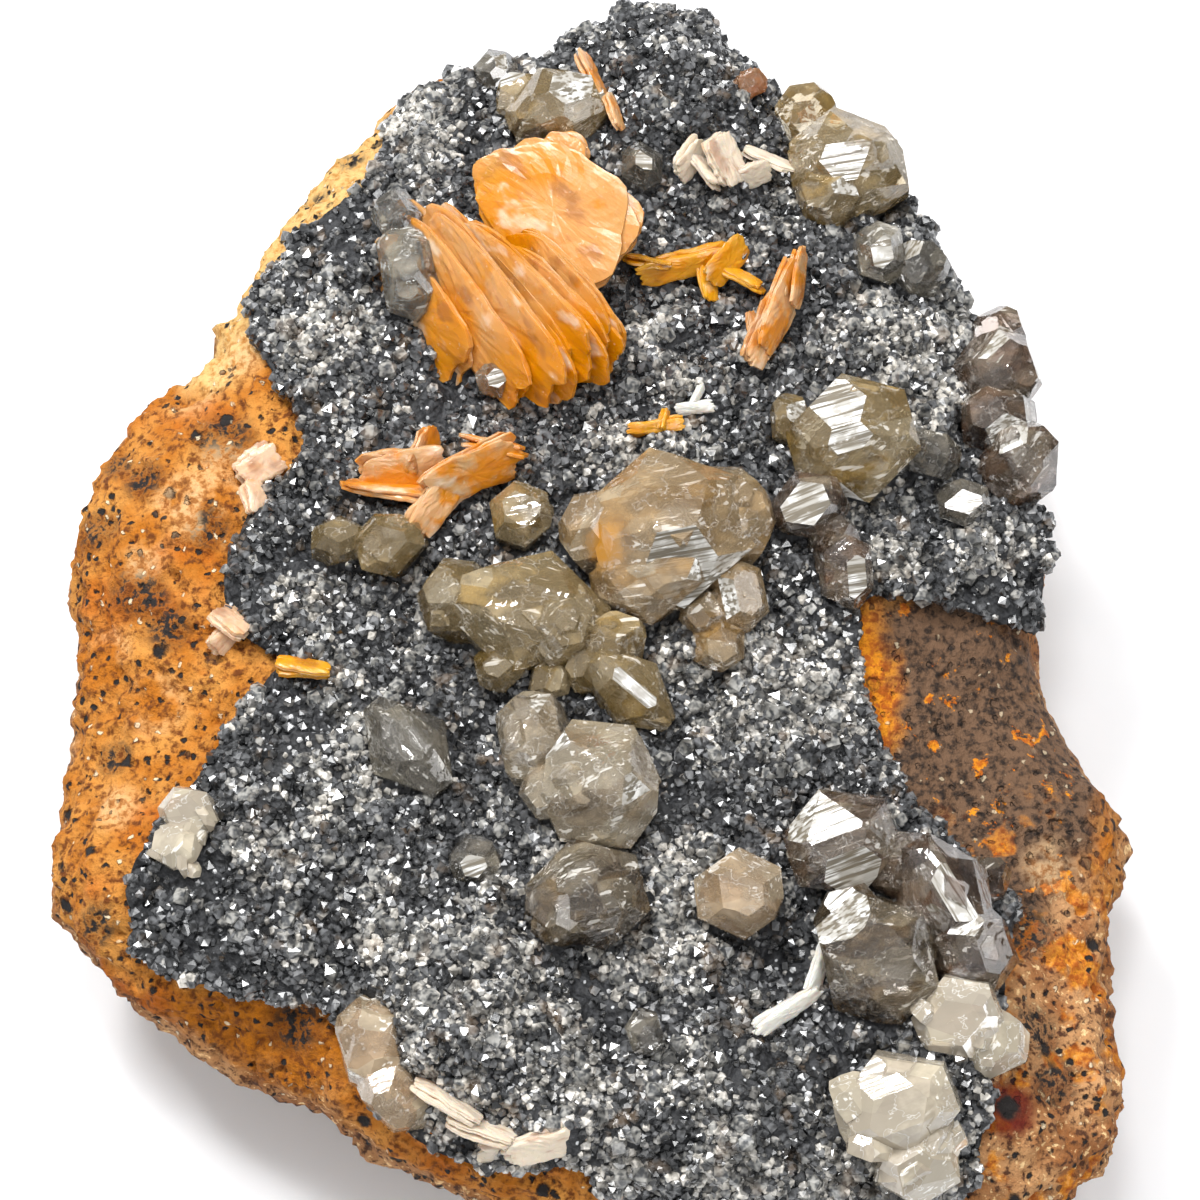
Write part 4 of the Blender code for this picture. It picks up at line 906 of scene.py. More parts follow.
# Each crystal: place, lift of its middle over the ground, three sizes, and turn: spin, tilt, direction.
CERUSSITE = {
    "cerussite_top_left": [(494, 70, 1.4, (3.8, 3.6, 3.8), (10, 25, 200))],
    "cerussite_top_grey": [
        (556, 112, 1.2, (9.6, 7.6, 7.0), (20, 22, 250)),
        (525, 98, 1.4, (5.0, 4.6, 5.0), (5, 30, 150)),
    ],
    "cerussite_top_round": [(641, 168, 1.2, (4.0, 4.0, 4.4), (0, 15, 300))],
    "cerussite_big_yellow": [
        (848, 168, 3.4, (10.4, 9.6, 9.6), (8, 18, 260)),
        (806, 112, 2.6, (5.0, 5.2, 5.4), (30, 25, 120)),
        (830, 196, 1.8, (6.0, 5.6, 6.4), (15, 35, 220)),
    ],
    "cerussite_right_rim_pair": [
        (880, 254, 1.8, (4.4, 5.6, 5.0), (12, 25, 280)),
        (922, 266, 2.0, (4.8, 4.6, 4.8), (40, 20, 20)),
    ],
    "cerussite_right_rim_cluster": [
        (1000, 332, 2.2, (4.0, 4.4, 4.6), (10, 20, 40)),
        (1003, 372, 2.8, (6.0, 7.4, 6.2), (25, 30, 330)),
        (995, 420, 2.0, (6.6, 6.2, 6.0), (5, 25, 210)),
        (1024, 458, 2.4, (6.6, 6.8, 6.0), (50, 30, 10)),
    ],
    "cerussite_large_striated": [
        (853, 437, 2.5, (11.4, 10.2, 7.6), (15, 24, 262)),
        (791, 421, 1.3, (3.4, 4.8, 4.2), (6, 28, 180)),
    ],
    "cerussite_dark_streaked": [(927, 452, 1.2, (4.0, 5.2, 4.2), (70, 35, 200))],
    "cerussite_white_facet": [(962, 502, 1.2, (5.0, 3.6, 3.8), (10, 30, 275))],
    "cerussite_scarp_chain": [
        (808, 506, 1.8, (6.4, 5.6, 5.2), (20, 20, 240)),
        (846, 572, 1.6, (4.4, 6.6, 5.4), (10, 35, 300)),
        (835, 540, 1.2, (4.0, 4.6, 4.6), (35, 15, 80)),
    ],
    "cerussite_centre_group": [
        (672, 528, 3.2, (14.6, 12.0, 10.0), (12, 14, 285)),
        (600, 530, 2.2, (6.6, 6.6, 7.0), (30, 25, 170)),
        (648, 577, 2.4, (10.5, 6.2, 7.0), (5, 35, 235)),
        (722, 516, 2.6, (8.4, 9.4, 8.0), (40, 22, 15)),
        (738, 596, 1.6, (4.4, 6.4, 5.0), (15, 25, 320)),
        (706, 617, 1.3, (3.8, 4.4, 4.0), (40, 30, 230)),
        (719, 645, 1.2, (4.4, 4.4, 4.0), (4, 22, 280)),
    ],
    "cerussite_small_round": [(521, 515, 1.8, (5.6, 5.0, 5.4), (10, 12, 260))],
    "cerussite_left_faceted": [
        (390, 543, 1.4, (6.4, 5.0, 5.2), (15, 22, 250)),
        (340, 540, 1.0, (5.0, 3.8, 3.6), (0, 10, 90)),
    ],
    "cerussite_middle_chain": [
        (530, 612, 2.4, (14.2, 8.0, 8.0), (-14, 12, 280)),
        (458, 600, 1.8, (6.2, 7.2, 6.4), (20, 25, 180)),
        (560, 626, 2.2, (7.4, 7.0, 7.4), (45, 20, 320)),
        (630, 690, 1.8, (9.6, 4.4, 4.8), (-37, 26, 300)),
        (612, 640, 1.8, (6.0, 4.4, 5.0), (10, 20, 60)),
        (592, 668, 1.2, (4.6, 4.0, 4.6), (30, 30, 200)),
        (500, 667, 1.2, (4.4, 4.2, 4.2), (10, 18, 250)),
        (550, 680, 1.0, (3.8, 3.2, 3.8), (50, 25, 300)),
    ],
    "cerussite_teardrop": [(408, 747, 1.4, (9.6, 5.6, 5.6), (-52, 10, 250))],
    "cerussite_clear_pair": [
        (600, 786, 2.8, (9.6, 10.6, 8.4), (25, 20, 280)),
        (534, 742, 1.6, (6.0, 9.4, 6.6), (12, 22, 160)),
        (552, 790, 1.6, (4.6, 5.6, 5.4), (35, 30, 220)),
    ],
    "cerussite_smoky_front": [
        (588, 897, 2.0, (10.2, 8.4, 7.2), (15, 20, 265)),
        (560, 908, 1.6, (5.6, 6.4, 6.0), (50, 35, 200)),
    ],
    "cerussite_small_bright": [(475, 861, 1.0, (4.4, 3.8, 3.8), (20, 28, 270))],
    "cerussite_peach": [(740, 896, 1.6, (7.2, 7.2, 6.4), (5, 15, 270))],
    "cerussite_brown_front": [(842, 842, 2.6, (10.2, 8.8, 8.2), (20, 22, 255))],
    "cerussite_ridged_brown": [
        (946, 900, 2.6, (12.6, 6.2, 7.4), (-58, 16, 300)),
        (974, 948, 2.0, (6.6, 8.0, 6.6), (25, 30, 330)),
        (905, 865, 2.0, (5.6, 5.2, 6.4), (10, 30, 140)),
        (985, 880, 1.8, (4.4, 4.0, 5.0), (40, 25, 40)),
    ],
    "cerussite_olive_front": [
        (878, 958, 2.6, (9.6, 10.8, 8.2), (12, 22, 265)),
        (850, 918, 2.0, (5.6, 5.6, 6.0), (35, 25, 150)),
    ],
    "cerussite_below_rosette": [(497, 379, 1.2, (4.0, 3.4, 3.8), (15, 20, 270))],
    "cerussite_beside_rosette": [
        (412, 270, 1.4, (5.6, 9.4, 6.4), (8, 20, 240)),
        (402, 222, 1.4, (4.2, 6.4, 5.4), (30, 25, 160)),
    ],
    "cerussite_near_left_plates": [
        (372, 1050, 0.6, (5.4, 8.6, 4.6), (8, 40, 235)),
        (395, 1095, 0.6, (5.0, 7.0, 4.6), (40, 45, 260)),
    ],
    "cerussite_hollow_chip": [(646, 1034, 0.8, (3.0, 4.0, 3.4), (20, 30, 290))],
}

# Faces that get a white satin, partly a frosted face and partly a painted reflection, by the place in the
# picture where each is seen.
SHINING_FACES = [
    (502, 60), (645, 158), (845, 165), (500, 362), (845, 432), (965, 498), (812, 400), (640, 690),
    (618, 800), (470, 860), (800, 500), (1000, 345), (735, 590), (835, 820), (846, 905), (885, 245),
    (560, 90), (850, 580), (690, 560), (955, 915), (812, 838), (548, 706), (1012, 455),
]
SHINING_REACH = 42
SHINING_SIZE = 1.2
SHINING_TOWARDS_EYE = 0.55


# %% One crystal's form
def crystal_faces(large):
    """Directions of the faces: two ends, a six-sided prism and rings of pyramid faces."""
    rings = [(90, 0), (STEEP_PYRAMID, 0)]
    if large:
        rings.append((LOW_PYRAMID, 30))
    faces = [Vector((0, 0, 1)), Vector((0, 0, -1))]
    for lean, offset in rings:
        for side in range(6):
            around = math.radians(60 * side + offset)
            slope = math.radians(lean)
            outward = math.sin(slope)
            across, along = math.cos(around) * outward, math.sin(around) * outward
            faces.append(Vector((across, along, math.cos(slope))))
    return faces


def crystal_turn(turn):
    """A crystal's rotation: its axis leans by the tilt towards the direction in plan, then it is spun."""
    spin, tilt, direction = (math.radians(angle) for angle in turn)
    swing = Matrix.Rotation(direction, 3, "Z")
    lean = swing @ Matrix.Rotation(tilt, 3, "Y") @ swing.inverted()
    return lean @ Matrix.Rotation(spin, 3, "Z")


def cut(shape, normal, reach):
    """Cut a closed shape off beyond a plane and close it again."""
    everything = shape.verts[:] + shape.edges[:] + shape.faces[:]
    bmesh.ops.bisect_plane(
        shape, geom=everything, dist=1e-6, plane_co=normal * reach, plane_no=normal, clear_outer=True,
    )
    bmesh.ops.holes_fill(shape, edges=[e for e in shape.edges if e.is_boundary])


EXTRA_FACES = 5
STEP_HEIGHT = 0.05
STEP_LEVELS = 2
STEP_EDGE = 0.7
STEP_PASSES = 4
SMALL_PARTNERS = 4
PARTNER_SIZE = (0.42, 0.6)
PARTNERS_FROM = 5.5


def add_crystal(group, place, lift, size, turn):
    """Add one crystal to a group's mesh, and on a large one some small ones that share its directions."""
    chance = random.Random(str(place))
    rotation = crystal_turn(turn)
    middle = on_ground(place, lift)
    add_block(group, chance, middle, rotation, size)
    for _ in range(SMALL_PARTNERS if max(size) > PARTNERS_FROM else 0):
        share = chance.uniform(*PARTNER_SIZE)
        way = Vector((chance.gauss(0, 1), chance.gauss(0, 1), chance.gauss(0, 1))).normalized()
        offset = Vector([way[i] * size[i] / 2 * (1.0 - share * 0.93) for i in range(3)])
        small = tuple(s * share * chance.uniform(0.9, 1.1) for s in size)
        add_block(group, chance, middle + rotation @ offset * MM, rotation, small)


def add_block(group, chance, middle, rotation, size):
    """One block, cut by its faces, stepped, and put in its place."""
    shape = bmesh.new()
    bmesh.ops.create_cube(shape, size=2.5 * max(size))
    half = [s / 2 for s in size]

    def egg(normal):
        """How far out the face with this direction lies on an egg of the crystal's sizes."""
        return Vector((half[0] * normal.x, half[1] * normal.y, half[2] * normal.z)).length

    for normal in crystal_faces(max(size) > LARGE_CRYSTAL):
        cut(shape, normal, egg(normal) * (1 + chance.uniform(-FACE_JITTER, FACE_JITTER)))
    for _ in range(EXTRA_FACES):
        normal = Vector((chance.gauss(0, 1), chance.gauss(0, 1), chance.gauss(0, 0.8))).normalized()
        cut(shape, normal, egg(normal) * chance.uniform(1.0, 1.06))
    bmesh.ops.remove_doubles(shape, verts=shape.verts, dist=0.02)
    bmesh.ops.recalc_face_normals(shape, faces=shape.faces)

    # A large face near a listed place that turns to the eye gets the satin finish with its painted
    # reflection.
    for bright in SHINING_FACES:
        best, least = None, SHINING_REACH
        for face in shape.faces:
            outside = middle + rotation @ face.calc_center_median() * MM
            spot = seen_at(outside)
            away = math.hypot(spot[0] - bright[0], spot[1] - bright[1])
            facing = (rotation @ face.normal).dot((EYE - outside).normalized())
            large_enough = face.calc_area() > SHINING_SIZE
            if facing > SHINING_TOWARDS_EYE and away < least and large_enough:
                best, least = face, away
        if best and least < max(size) / 2 * MM / PICTURE_UNIT:
            best.material_index = 1

    bmesh.ops.triangulate(shape, faces=shape.faces)
    for _ in range(STEP_PASSES):
        long_edges = [e for e in shape.edges if e.calc_length() > STEP_EDGE]
        if not long_edges:
            break
        bmesh.ops.subdivide_edges(shape, edges=long_edges, cuts=1)
        bmesh.ops.triangulate(shape, faces=shape.faces)
    shape.normal_update()
    seed = Vector((chance.uniform(0, 90), chance.uniform(0, 90), 0))
    own = shape.verts.layers.float_vector.new("own")
    for corner in shape.verts:
        at = corner.co
        corner[own] = at + seed
        level = noise.noise(Vector((at.x * 0.16, at.y * 0.42, at.z * 0.5)) + seed)
        corner.co = at + corner.normal * STEP_HEIGHT * (math.floor(level * STEP_LEVELS) / STEP_LEVELS)
    for corner in shape.verts:
        corner.co = middle + rotation @ corner.co * MM
    mesh = bpy.data.meshes.new("crystal")
    shape.to_mesh(mesh)
    shape.free()
    group.from_mesh(mesh)
    bpy.data.meshes.remove(mesh)


# %% [markdown]
# ### Clear, smoky and veiled
# Cerussite bends light almost as strongly as diamond, and its tint lies in its depth, which an absorbing
# volume gives. Healed cracks and dull skins make it milky in streaks: a second, opaque surface is blended in
# along thin winding lines, in clouds, and in parallel grooves; the white of the thin lines is partly painted
# glints.
# Listed faces that turn to the eye have a white satin finish: partly a frosted, grooved face and partly a
# painted reflection of the lamps.


# %% The cerussite finishes
def cerussite_finish(name, tint, depth, veil, milk, inclusions=()):
    """Clear cerussite of a tint, with veils of a colour; inclusions are (place, height, reach, colour)."""
    sheet = Sheet(name)
    own = sheet.own_place()
    place = sheet.place()
    thread = sheet.noise(sheet.scaled(own, (0.7, 1.0, 0.5)), 3.2, 4.0, 0.6)
    lines = (thread - 0.5).size().step(0.007, 0.001)
    block = sheet.blocks(sheet.scaled(own, (0.5, 1.0, 0.8)), 2.6)
    second = sheet.noise(sheet.scaled(own, (0.25, 1.4, 1.8)), 1.0, 2.0)
    grooves = second.step(0.60, 0.66) * block.step(0.5, 0.6)
    share = thread.step(0.46, 0.74) * 0.26 + block * 0.10 + grooves * 0.4 + lines * 0.24 + milk
    share = share.smaller(0.94)
    skin = sheet.mix(block * 0.6, veil, paint(242, 230, 200))
    # The white along thin lines and grooves is partly real healed cracks and striations, partly painted
    # glints from inner cracks.
    skin = sheet.mix(lines.larger(grooves) * 0.7, skin, paint(255, 254, 250))
    for spot, high, reach, colour in inclusions:
        near = sheet.patch(sheet.warped(place, 1.2, 1.2), flat_spot(spot, high), (reach,) * 3, 0.4)
        skin = sheet.mix(near, skin, colour)
        share = share.larger(near * 0.9)
    relief = sheet.bump(second, 0.35, 0.08)
    clear = sheet.principled(
        base_color=(1, 1, 1, 1), roughness=0.03, ior=2.05, transmission_weight=1.0, normal=relief,
    )
    milky = sheet.principled(base_color=skin, roughness=0.16, ior=2.0, normal=relief)
    surface = sheet.node("ShaderNodeMixShader", {}, {0: share, 1: clear, 2: milky})
    volume = sheet.node("ShaderNodeVolumeAbsorption", {}, {"Color": tint, "Density": depth})
    return sheet.finish(surface, volume)


def satin_finish():
    """The white satin of a listed face turned to the eye, with fine parallel grooves: partly frosted, partly
    a painted reflection.
    """
    sheet = Sheet("satin_and_painted_flash_cerussite")
    own = sheet.own_place()
    grooves = sheet.noise(sheet.scaled(own, (0.14, 2.4, 2.4)), 0.9, 3.0)
    dull = sheet.noise(own, 2.2, 3.0).step(0.40, 0.56)
    colour = sheet.mix(grooves.step(0.42, 0.56), paint(116, 108, 94), paint(248, 247, 243))
    colour = sheet.mix(dull * 0.6, colour, paint(132, 122, 104))
    relief = sheet.bump(grooves, 0.6, 0.1)
    return sheet.finish(sheet.principled(base_color=colour, roughness=0.12, ior=2.0, normal=relief))


satin_and_painted_flash = satin_finish()
# Each finish: name, tint of the depth and its density, colour of the veils, least share of milk.
TINTS = {
    "white": cerussite_finish("white_calcite", (0.94, 0.86, 0.72, 1), 60.0, paint(232, 216, 192), 0.40),
    "yellow": cerussite_finish("yellow_cerussite", (0.98, 0.77, 0.26, 1), 80.0, paint(240, 196, 108), 0.10),
    "grey": cerussite_finish("grey_cerussite", (0.80, 0.75, 0.66, 1), 50.0, paint(198, 186, 168), 0.04),
    "tan": cerussite_finish(
        "tan_cerussite", (0.96, 0.74, 0.34, 1), 80.0, paint(238, 188, 116), 0.15,
        [((622, 535), 35, 2.6, paint(196, 134, 30))],
    ),
    "brown": cerussite_finish("brown_cerussite", (0.80, 0.52, 0.34, 1), 100.0, paint(170, 122, 88), 0.03),
    "olive": cerussite_finish("olive_cerussite", (0.86, 0.64, 0.36, 1), 90.0, paint(182, 144, 92), 0.03),
    "pale": cerussite_finish(
        "pale_cerussite", (0.94, 0.82, 0.60, 1), 60.0, paint(236, 208, 168), 0.14,
        [((607, 747), 34, 1.2, paint(200, 96, 40))],
    ),
    "peach": cerussite_finish("peach_cerussite", (0.90, 0.70, 0.50, 1), 60.0, paint(230, 192, 148), 0.26),
}
TINT_OF = {
    "cerussite_top_left": "grey", "cerussite_top_grey": "yellow", "cerussite_top_round": "grey",
    "cerussite_big_yellow": "yellow", "cerussite_right_rim_pair": "grey",
    "cerussite_right_rim_cluster": "brown", "cerussite_large_striated": "yellow",
    "cerussite_dark_streaked": "grey", "cerussite_white_facet": "grey",
    "cerussite_scarp_chain": "brown", "cerussite_centre_group": "tan",
    "cerussite_small_round": "yellow", "cerussite_left_faceted": "yellow",
    "cerussite_middle_chain": "yellow", "cerussite_teardrop": "grey",
    "cerussite_clear_pair": "pale", "cerussite_smoky_front": "olive",
    "cerussite_small_bright": "grey", "cerussite_peach": "peach", "cerussite_brown_front": "brown",
    "cerussite_ridged_brown": "brown", "cerussite_olive_front": "olive",
    "cerussite_near_left_plates": "peach", "cerussite_hollow_chip": "grey",
    "cerussite_below_rosette": "grey", "cerussite_beside_rosette": "grey",
}

# %% Growing the crystals
for node, crystals in CERUSSITE.items():
    group = bmesh.new()
    for across, down, lift, size, turn in crystals:
        add_crystal(group, (across, down), lift, size, turn)
    finished(node.replace("cerussite", "crystals"), group, [TINTS[TINT_OF[node]], satin_and_painted_flash], "cerussite", node)

# %% [markdown]
# ## Barite blades
# Barite grows as thin leaves that lie on each other like pages. Each packed blade becomes a few such leaves:
# round or squarish plates with a wavy face and a ragged edge, shifted a little against each other. Their own
# coordinates run along, across and through the leaf, and the finish draws its layers with them.

# %% The table of blades
# Each blade: place, lift, sizes (length, width, thickness) and turn: spin, tilt, direction.
BARITE = {
    "barite_rosette": [
        (562, 212, 4.4, (16.0, 13.0, 2.4), (0, 24, 322)),
        (512, 182, 3.6, (7.4, 6.6, 3.4), (0, 30, 335)),
        (564, 154, 3.6, (4.6, 4.2, 5.6), (0, 30, 350)),
    ],
    "barite_top_blade": [
        (592, 78, 1.8, (5.8, 2.6, 1.0), (0, 62, 112)),
        (614, 112, 1.4, (4.4, 1.9, 0.8), (0, 55, 105)),
    ],
    "barite_brown_knob": [(749, 84, 1.0, (2.8, 2.6, 2.4), (0, 30, 40))],
    "barite_cream_plates": [
        (727, 160, 1.9, (5.4, 4.2, 1.2), (40, 38, 82)),
        (690, 158, 1.4, (4.6, 3.0, 1.0), (0, 60, 60)),
        (706, 172, 1.2, (4.4, 2.6, 1.0), (0, 50, 125)),
        (768, 160, 1.5, (5.6, 2.4, 0.9), (0, 48, 155)),
        (752, 176, 1.2, (4.0, 2.8, 0.9), (0, 62, 20)),
    ],
    "barite_yellow_cluster": [
        (690, 264, 1.4, (9.6, 3.0, 1.2), (0, 52, 12)),
        (726, 262, 2.0, (5.6, 3.4, 1.0), (0, 60, 48)),
        (742, 278, 1.6, (4.6, 2.2, 0.9), (0, 50, 150)),
        (650, 262, 1.2, (5.0, 2.0, 0.9), (0, 55, 170)),
        (708, 282, 1.2, (4.4, 2.2, 0.9), (0, 45, 100)),
    ],
    "barite_fan": [
        (780, 305, 2.4, (10.6, 3.6, 1.4), (0, 58, 68)),
        (768, 328, 2.0, (8.2, 3.4, 1.3), (0, 46, 62)),
        (796, 278, 2.4, (6.4, 2.8, 1.2), (0, 66, 80)),
        (758, 335, 1.2, (5.2, 2.2, 1.0), (0, 40, 100)),
    ],
    "barite_orange_scrap": [
        (655, 426, 0.9, (5.6, 1.4, 0.8), (0, 40, 12)),
        (664, 420, 1.1, (2.4, 1.2, 0.7), (0, 60, 75)),
    ],
    "barite_pale_scrap": [
        (694, 408, 0.9, (4.0, 1.2, 0.8), (0, 40, 8)),
        (696, 396, 1.1, (2.6, 1.0, 0.7), (0, 60, 60)),
    ],
    "barite_peach_cluster": [
        (470, 470, 2.6, (11.0, 4.6, 1.6), (0, 60, 28)),
        (440, 500, 1.9, (8.2, 4.0, 1.4), (0, 48, 52)),
        (402, 470, 1.7, (8.4, 4.4, 1.2), (0, 50, 8)),
        (388, 490, 1.3, (8.8, 2.8, 1.1), (0, 42, 172)),
        (495, 446, 2.4, (6.2, 3.2, 1.2), (0, 64, 168)),
        (424, 453, 1.8, (5.4, 3.4, 1.1), (0, 53, 70)),
    ],
    "barite_ochre_plates": [
        (258, 466, 0.6, (4.8, 3.8, 1.3), (0, 30, 35)),
        (255, 498, 0.6, (3.4, 2.6, 1.2), (0, 35, 100)),
    ],
    "barite_left_plates": [
        (232, 622, 0.7, (4.0, 3.2, 1.2), (0, 40, 140)),
        (222, 640, 0.6, (2.8, 2.6, 1.0), (0, 50, 50)),
    ],
    "barite_orange_tongue": [(302, 668, 0.9, (5.4, 2.0, 1.3), (0, 35, 175))],
    "barite_white_blade": [
        (819, 964, 1.8, (6.6, 1.7, 1.0), (0, 58, 72)),
        (787, 1010, 1.6, (7.2, 1.6, 1.0), (0, 50, 32)),
    ],
    "barite_near_edge_plates": [
        (446, 1103, 1.4, (7.4, 3.2, 1.3), (0, 58, 148)),
        (482, 1130, 1.4, (6.8, 3.0, 1.2), (0, 50, 160)),
        (545, 1145, 1.2, (7.6, 3.0, 1.2), (0, 52, 20)),
        (510, 1148, 1.0, (6.2, 2.8, 1.1), (0, 60, 5)),
    ],
}

# The rosette's blades hang from their ridges: place, lift, length, direction.
ROSETTE_WIDTH = 8.5
ROSETTE_THICKNESS = 2.1
ROSETTE_STAND = 60
ROSETTE = [
    (440, 280, 3.4, 16.5, -56),
    (481, 277, 5.6, 23.5, -57),
    (508, 272, 7.0, 24.0, -54),
    (526, 286, 6.8, 19.0, -52),
    (545, 274, 7.6, 21.0, -50),
    (567, 276, 7.2, 16.0, -47),
    (581, 268, 7.2, 16.0, -50),
]

LEAF_AROUND = 44
LEAF_RINGS = 6
LEAF_SPACING = 0.62
LEAF_FAN = math.radians(7)
LEAF_OVERLAP = 1.12
EDGE_WAVES = 0.16
EDGE_THINNING = 0.55


# %% One leaf
def turned(turn):
    """A blade's rotation: spin about its own axis, then tilt, then direction in plan."""
    spin, tilt, direction = (math.radians(angle) for angle in turn)
    lean = Matrix.Rotation(direction, 3, "Z") @ Matrix.Rotation(tilt, 3, "X")
    return lean @ Matrix.Rotation(spin, 3, "Z")


def add_leaf(shape, own, middle, rotation, size, level, seed, square, teeth):
    """Add one leaf, a closed wavy plate, at a level from the blade's middle.

    Square is the power of its outline: 2 is round, more is squarer. Teeth is how ragged its edge is.
    """
    length, width, thickness = size
    rings = {1: [], -1: []}
    for side in (1, -1):
        for ring in range(LEAF_RINGS + 1):
            share = math.sin(ring / LEAF_RINGS * math.pi / 2)
            row = []
            for i in range(LEAF_AROUND if ring else 1):
                around = math.tau * i / LEAF_AROUND
                x, y = math.cos(around), math.sin(around)
                reach = (abs(x) ** square + abs(y) ** square) ** (-1 / square)
                edge = noise.noise(Vector((x * 1.7, y * 1.7, seed))) * EDGE_WAVES
                edge += noise.noise(Vector((x * 6.0, y * 6.0, seed + 9))) * teeth
                reach *= share * (0.94 + edge * share ** 4)
                at = Vector((x * reach * length / 2, y * reach * width / 2, 0))
                wave = 0.24 * noise.noise(at * 0.3 + Vector((0, 0, seed))) + 0.07 * noise.noise(at * 1.1)
                thin = 1 - EDGE_THINNING * share ** 5
                at.z = level + wave + side * thickness / 2 * thin + 0.05 * noise.noise(at * 2.3) * side
                corner = shape.verts.new(middle + rotation @ at * MM)
                corner[own] = (at.x, at.y, level + side * thickness / 2 + seed * 3)
                row.append(corner)
            rings[side].append(row)
    for side in (1, -1):
        rows = rings[side]
        for i in range(LEAF_AROUND):
            j = (i + 1) % LEAF_AROUND
            shape.faces.new([rows[0][0], rows[1][i], rows[1][j]][::side])
            for inner, outer in zip(rows[1:], rows[2:]):
                shape.faces.new([inner[i], outer[i], outer[j], inner[j]][::side])
    for i in range(LEAF_AROUND):
        j = (i + 1) % LEAF_AROUND
        top, bottom = rings[1][-1], rings[-1][-1]
        shape.faces.new([top[j], top[i], bottom[i], bottom[j]])


def add_blade(shape, own, middle, rotation, size, square, teeth, fan):
    """Add one blade as a pile of leaves that fan out a little."""
    chance = random.Random(str(tuple(round(c, 6) for c in middle)))
    count = max(2, round(size[2] / LEAF_SPACING))
    step = size[2] / count
    for i in range(count):
        level = (i - (count - 1) / 2) * step
        shift = Vector((chance.uniform(-0.035, 0.035) * size[0], chance.uniform(-0.05, 0.05) * size[1], 0))
        length, width = size[0] * chance.uniform(0.9, 1.0), size[1] * chance.uniform(0.84, 1.0)
        lean = Matrix.Rotation(chance.uniform(-fan, fan), 3, "Z")
        lean = lean @ Matrix.Rotation(chance.uniform(-fan, fan), 3, "X")
        at = middle + rotation @ shift * MM
        leaf = (length, width, step * LEAF_OVERLAP)
        add_leaf(shape, own, at, rotation @ lean, leaf, level, chance.uniform(0, 50), square, teeth)


# %% [markdown]
# ### The barite finishes
# The rosette is peach in its middle and turns to strong yellow-orange at its tips, where iron has stained
# it. Fine pale and brown lines along the leaves' edges are their layers. A little light passes into the
# blades, which subsurface scattering gives.


# %% Peach, orange and cream barite
def barite_finish(name, middle_colour, stained, pale, stain_share, stains=()):
    """Barite with layers, from a middle colour to a stained one; stains are (place, height, reach)."""
    sheet = Sheet(name)
    own = sheet.own_place()
    place = sheet.place()
    ragged = sheet.warped(place, 2.4, 2.4)
    cloud = sheet.noise(place, 2.6, 4.0)
    stain = cloud.step(0.62 - stain_share * 0.3, 0.82 - stain_share * 0.3)
    for spot, high, reach in stains:
        stain = stain.larger(sheet.patch(ragged, flat_spot(spot, high), reach, 0.5))
    colour = sheet.mix(stain, middle_colour, stained)
    layers = sheet.noise(sheet.scaled(own, (0.18, 0.3, 5.0)), 1.0, 3.0)
    colour = sheet.mix(layers.step(0.57, 0.68) * 0.5, colour, pale)
    colour = sheet.mix(layers.step(0.44, 0.34) * 0.5, colour, paint(132, 66, 10))
    grain = sheet.noise(sheet.scaled(own, (0.5, 2.0, 1.0)), 1.1, 5.0)
    colour = sheet.mix(grain.step(0.54, 0.74) * 0.45, colour, paint(168, 92, 44))
    # Pale specks at random: painted glints on the blades.
    colour = sheet.mix(sheet.noise(place, 0.5, 3.0).step(0.66, 0.74) * 0.4, colour, pale)
    relief = sheet.bump(layers + grain * 0.5, 0.6, 0.18)
    surface = sheet.principled(
        base_color=colour, roughness=0.12 + cloud * 0.3, normal=relief, ior=1.64,
        subsurface_weight=0.22, subsurface_radius=(1.0, 0.5, 0.25), subsurface_scale=1.6 * MM,
    )
    return sheet.finish(surface)


peach, amber, cream = paint(212, 150, 82), paint(212, 132, 0), paint(250, 230, 206)
BARITES = {
    "rosette": barite_finish("rosette_barite", peach, amber, cream, 0.3, [
        ((605, 335), 36, (6.0, 5.0, 9)), ((545, 360), 33, (5.0, 4.0, 9)), ((505, 175), 36, (3.2, 3.0, 9)),
        ((560, 150), 36, (3.0, 2.0, 9)), ((415, 240), 32, (1.6, 4.0, 9)), ((460, 320), 31, (2.5, 4.0, 9)),
        ((530, 215), 36, (2.0, 3.5, 9)),
    ]),
    "yellow": barite_finish("yellow_barite", paint(222, 156, 34), paint(226, 146, 2), cream, 0.6),
    "peach": barite_finish("peach_barite", paint(216, 166, 116), paint(218, 132, 16), cream, 0.7),
    "cream": barite_finish("cream_barite", paint(226, 208, 186), paint(222, 176, 120), cream, 0.1),
    "blush": barite_finish("blush_barite", paint(226, 188, 154), paint(222, 160, 104), cream, 0.3),
    "white": barite_finish("white_barite", paint(226, 222, 212), paint(216, 200, 170), cream, 0.0),
    "brown": barite_finish(
        "brown_barite", paint(126, 88, 58), paint(150, 96, 50), paint(170, 140, 110), 0.4,
    ),
}
BARITE_OF = {
    "barite_rosette": "rosette", "barite_top_blade": "peach", "barite_brown_knob": "brown",
    "barite_cream_plates": "cream", "barite_yellow_cluster": "yellow", "barite_fan": "peach",
    "barite_orange_scrap": "yellow", "barite_pale_scrap": "white", "barite_peach_cluster": "peach",
    "barite_ochre_plates": "blush", "barite_left_plates": "blush", "barite_orange_tongue": "yellow",
    "barite_white_blade": "white", "barite_near_edge_plates": "cream",
}

# %% Setting the blades
# The look of a blade's leaves: squareness, teeth, fan.
ROUND_LEAVES = (2.4, 0.05, LEAF_FAN * 0.4)
LONG_LEAVES = (3.0, 0.04, LEAF_FAN * 0.3)
RAGGED_LEAVES = (4.5, 0.13, LEAF_FAN)

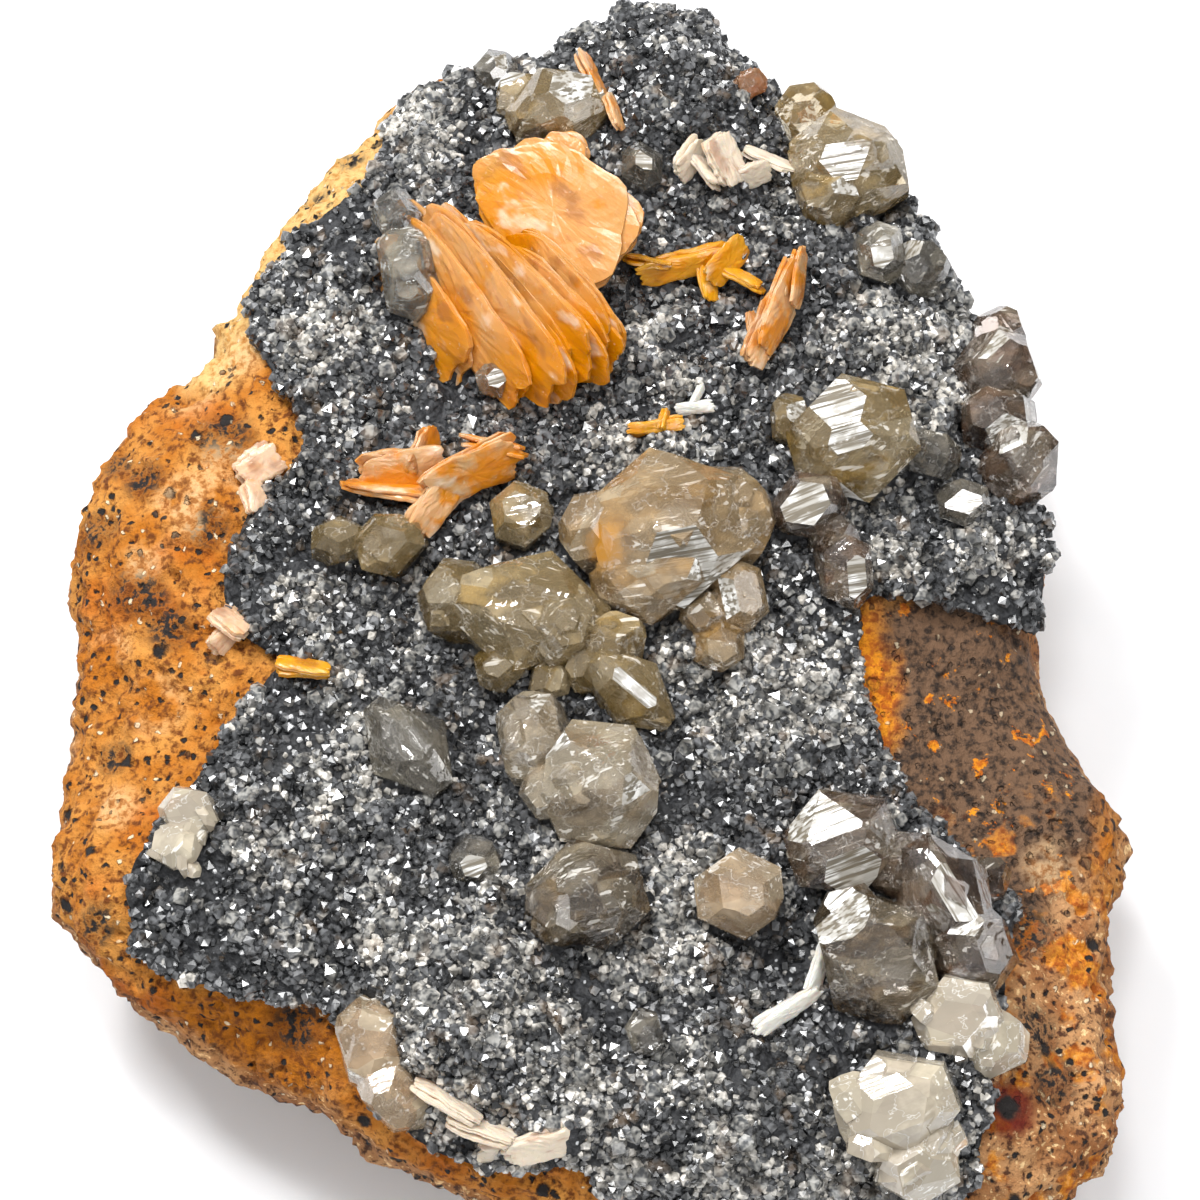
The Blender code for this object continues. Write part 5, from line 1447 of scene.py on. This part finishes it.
for node, blades in BARITE.items():
    shape = bmesh.new()
    own = shape.verts.layers.float_vector.new("own")
    for across, down, lift, size, turn in blades:
        look = ROUND_LEAVES if node == "barite_rosette" else RAGGED_LEAVES
        add_blade(shape, own, on_ground((across, down), lift), turned(turn), size, *look)
    if node == "barite_rosette":
        for across, down, lift, length, direction in ROSETTE:
            rotation = turned((0, ROSETTE_STAND, direction))
            middle = on_ground((across, down), lift) - rotation @ Vector((0, ROSETTE_WIDTH / 2, 0)) * MM
            size = (length, ROSETTE_WIDTH, ROSETTE_THICKNESS)
            add_blade(shape, own, middle, rotation, size, *LONG_LEAVES)
    finished(node.replace("barite", "leaves"), shape, BARITES[BARITE_OF[node]], "barite", node)

# %% [markdown]
# ## White calcite
# Late calcite grows as milky, cleaved blocks beside the cerussite and on the left edge. They are cut as the
# other crystals are, with more small partners, and their milk share is far higher.

# %% The calcite blocks
# Each block: place, lift, three sizes.
CALCITE = {
    "calcite_left_patch": [
        (188, 815, 0.8, (4.8, 4.8, 2.6)),
        (174, 846, 0.7, (4.0, 5.0, 2.4)),
    ],
    "calcite_front_lump": [
        (958, 1018, 1.8, (7.4, 6.2, 5.4)),
        (990, 1040, 1.4, (5.6, 5.0, 4.6)),
    ],
    "calcite_near_lumps": [
        (897, 1106, 1.6, (10.4, 8.4, 6.4)),
        (915, 1150, 1.2, (8.4, 6.4, 5.0)),
    ],
}
SMALL_BLOCKS = 6

for node, blocks in CALCITE.items():
    group = bmesh.new()
    chance = random.Random(node)
    for number, (across, down, lift, size) in enumerate(blocks):
        add_crystal(group, (across, down), lift, size, (20 + 35 * number, 25, 250 - 90 * number))
        for _ in range(SMALL_BLOCKS):
            beside = (
                across + chance.uniform(-0.4, 0.4) * size[0] * MM / PICTURE_UNIT,
                down + chance.uniform(-0.4, 0.4) * size[1] * MM / PICTURE_UNIT,
            )
            small = tuple(s * chance.uniform(0.3, 0.55) for s in size)
            turn = tuple(chance.uniform(0, 90) for _ in range(3))
            add_crystal(group, beside, lift * chance.uniform(0.9, 1.5), small, turn)
    finished(node.replace("calcite", "white"), group, [TINTS["white"], satin_and_painted_flash], "calcite", node)

# %% [markdown]
# ## Clearing up
# The seed shapes of the grains have done their work. The whole model's box is set beside the solids' box,
# and how far it stands out is printed, to see that nothing stands out too far.

# %% The two boxes
MARGIN = 0.03
for seed_grain in list(grain_store.objects):
    bpy.data.objects.remove(seed_grain)
bpy.data.collections.remove(grain_store)

low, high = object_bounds()
sizes = {"cad": [list(cad_low), list(cad_high)], "visual": [list(low), list(high)]}
for axis in range(3):
    allowed = MARGIN * (cad_high[axis] - cad_low[axis])
    over = max(cad_low[axis] - low[axis], high[axis] - cad_high[axis])
    print("xyz"[axis], "stands out by", round(over / MM, 2), "of", round(allowed / MM, 2), "mm")
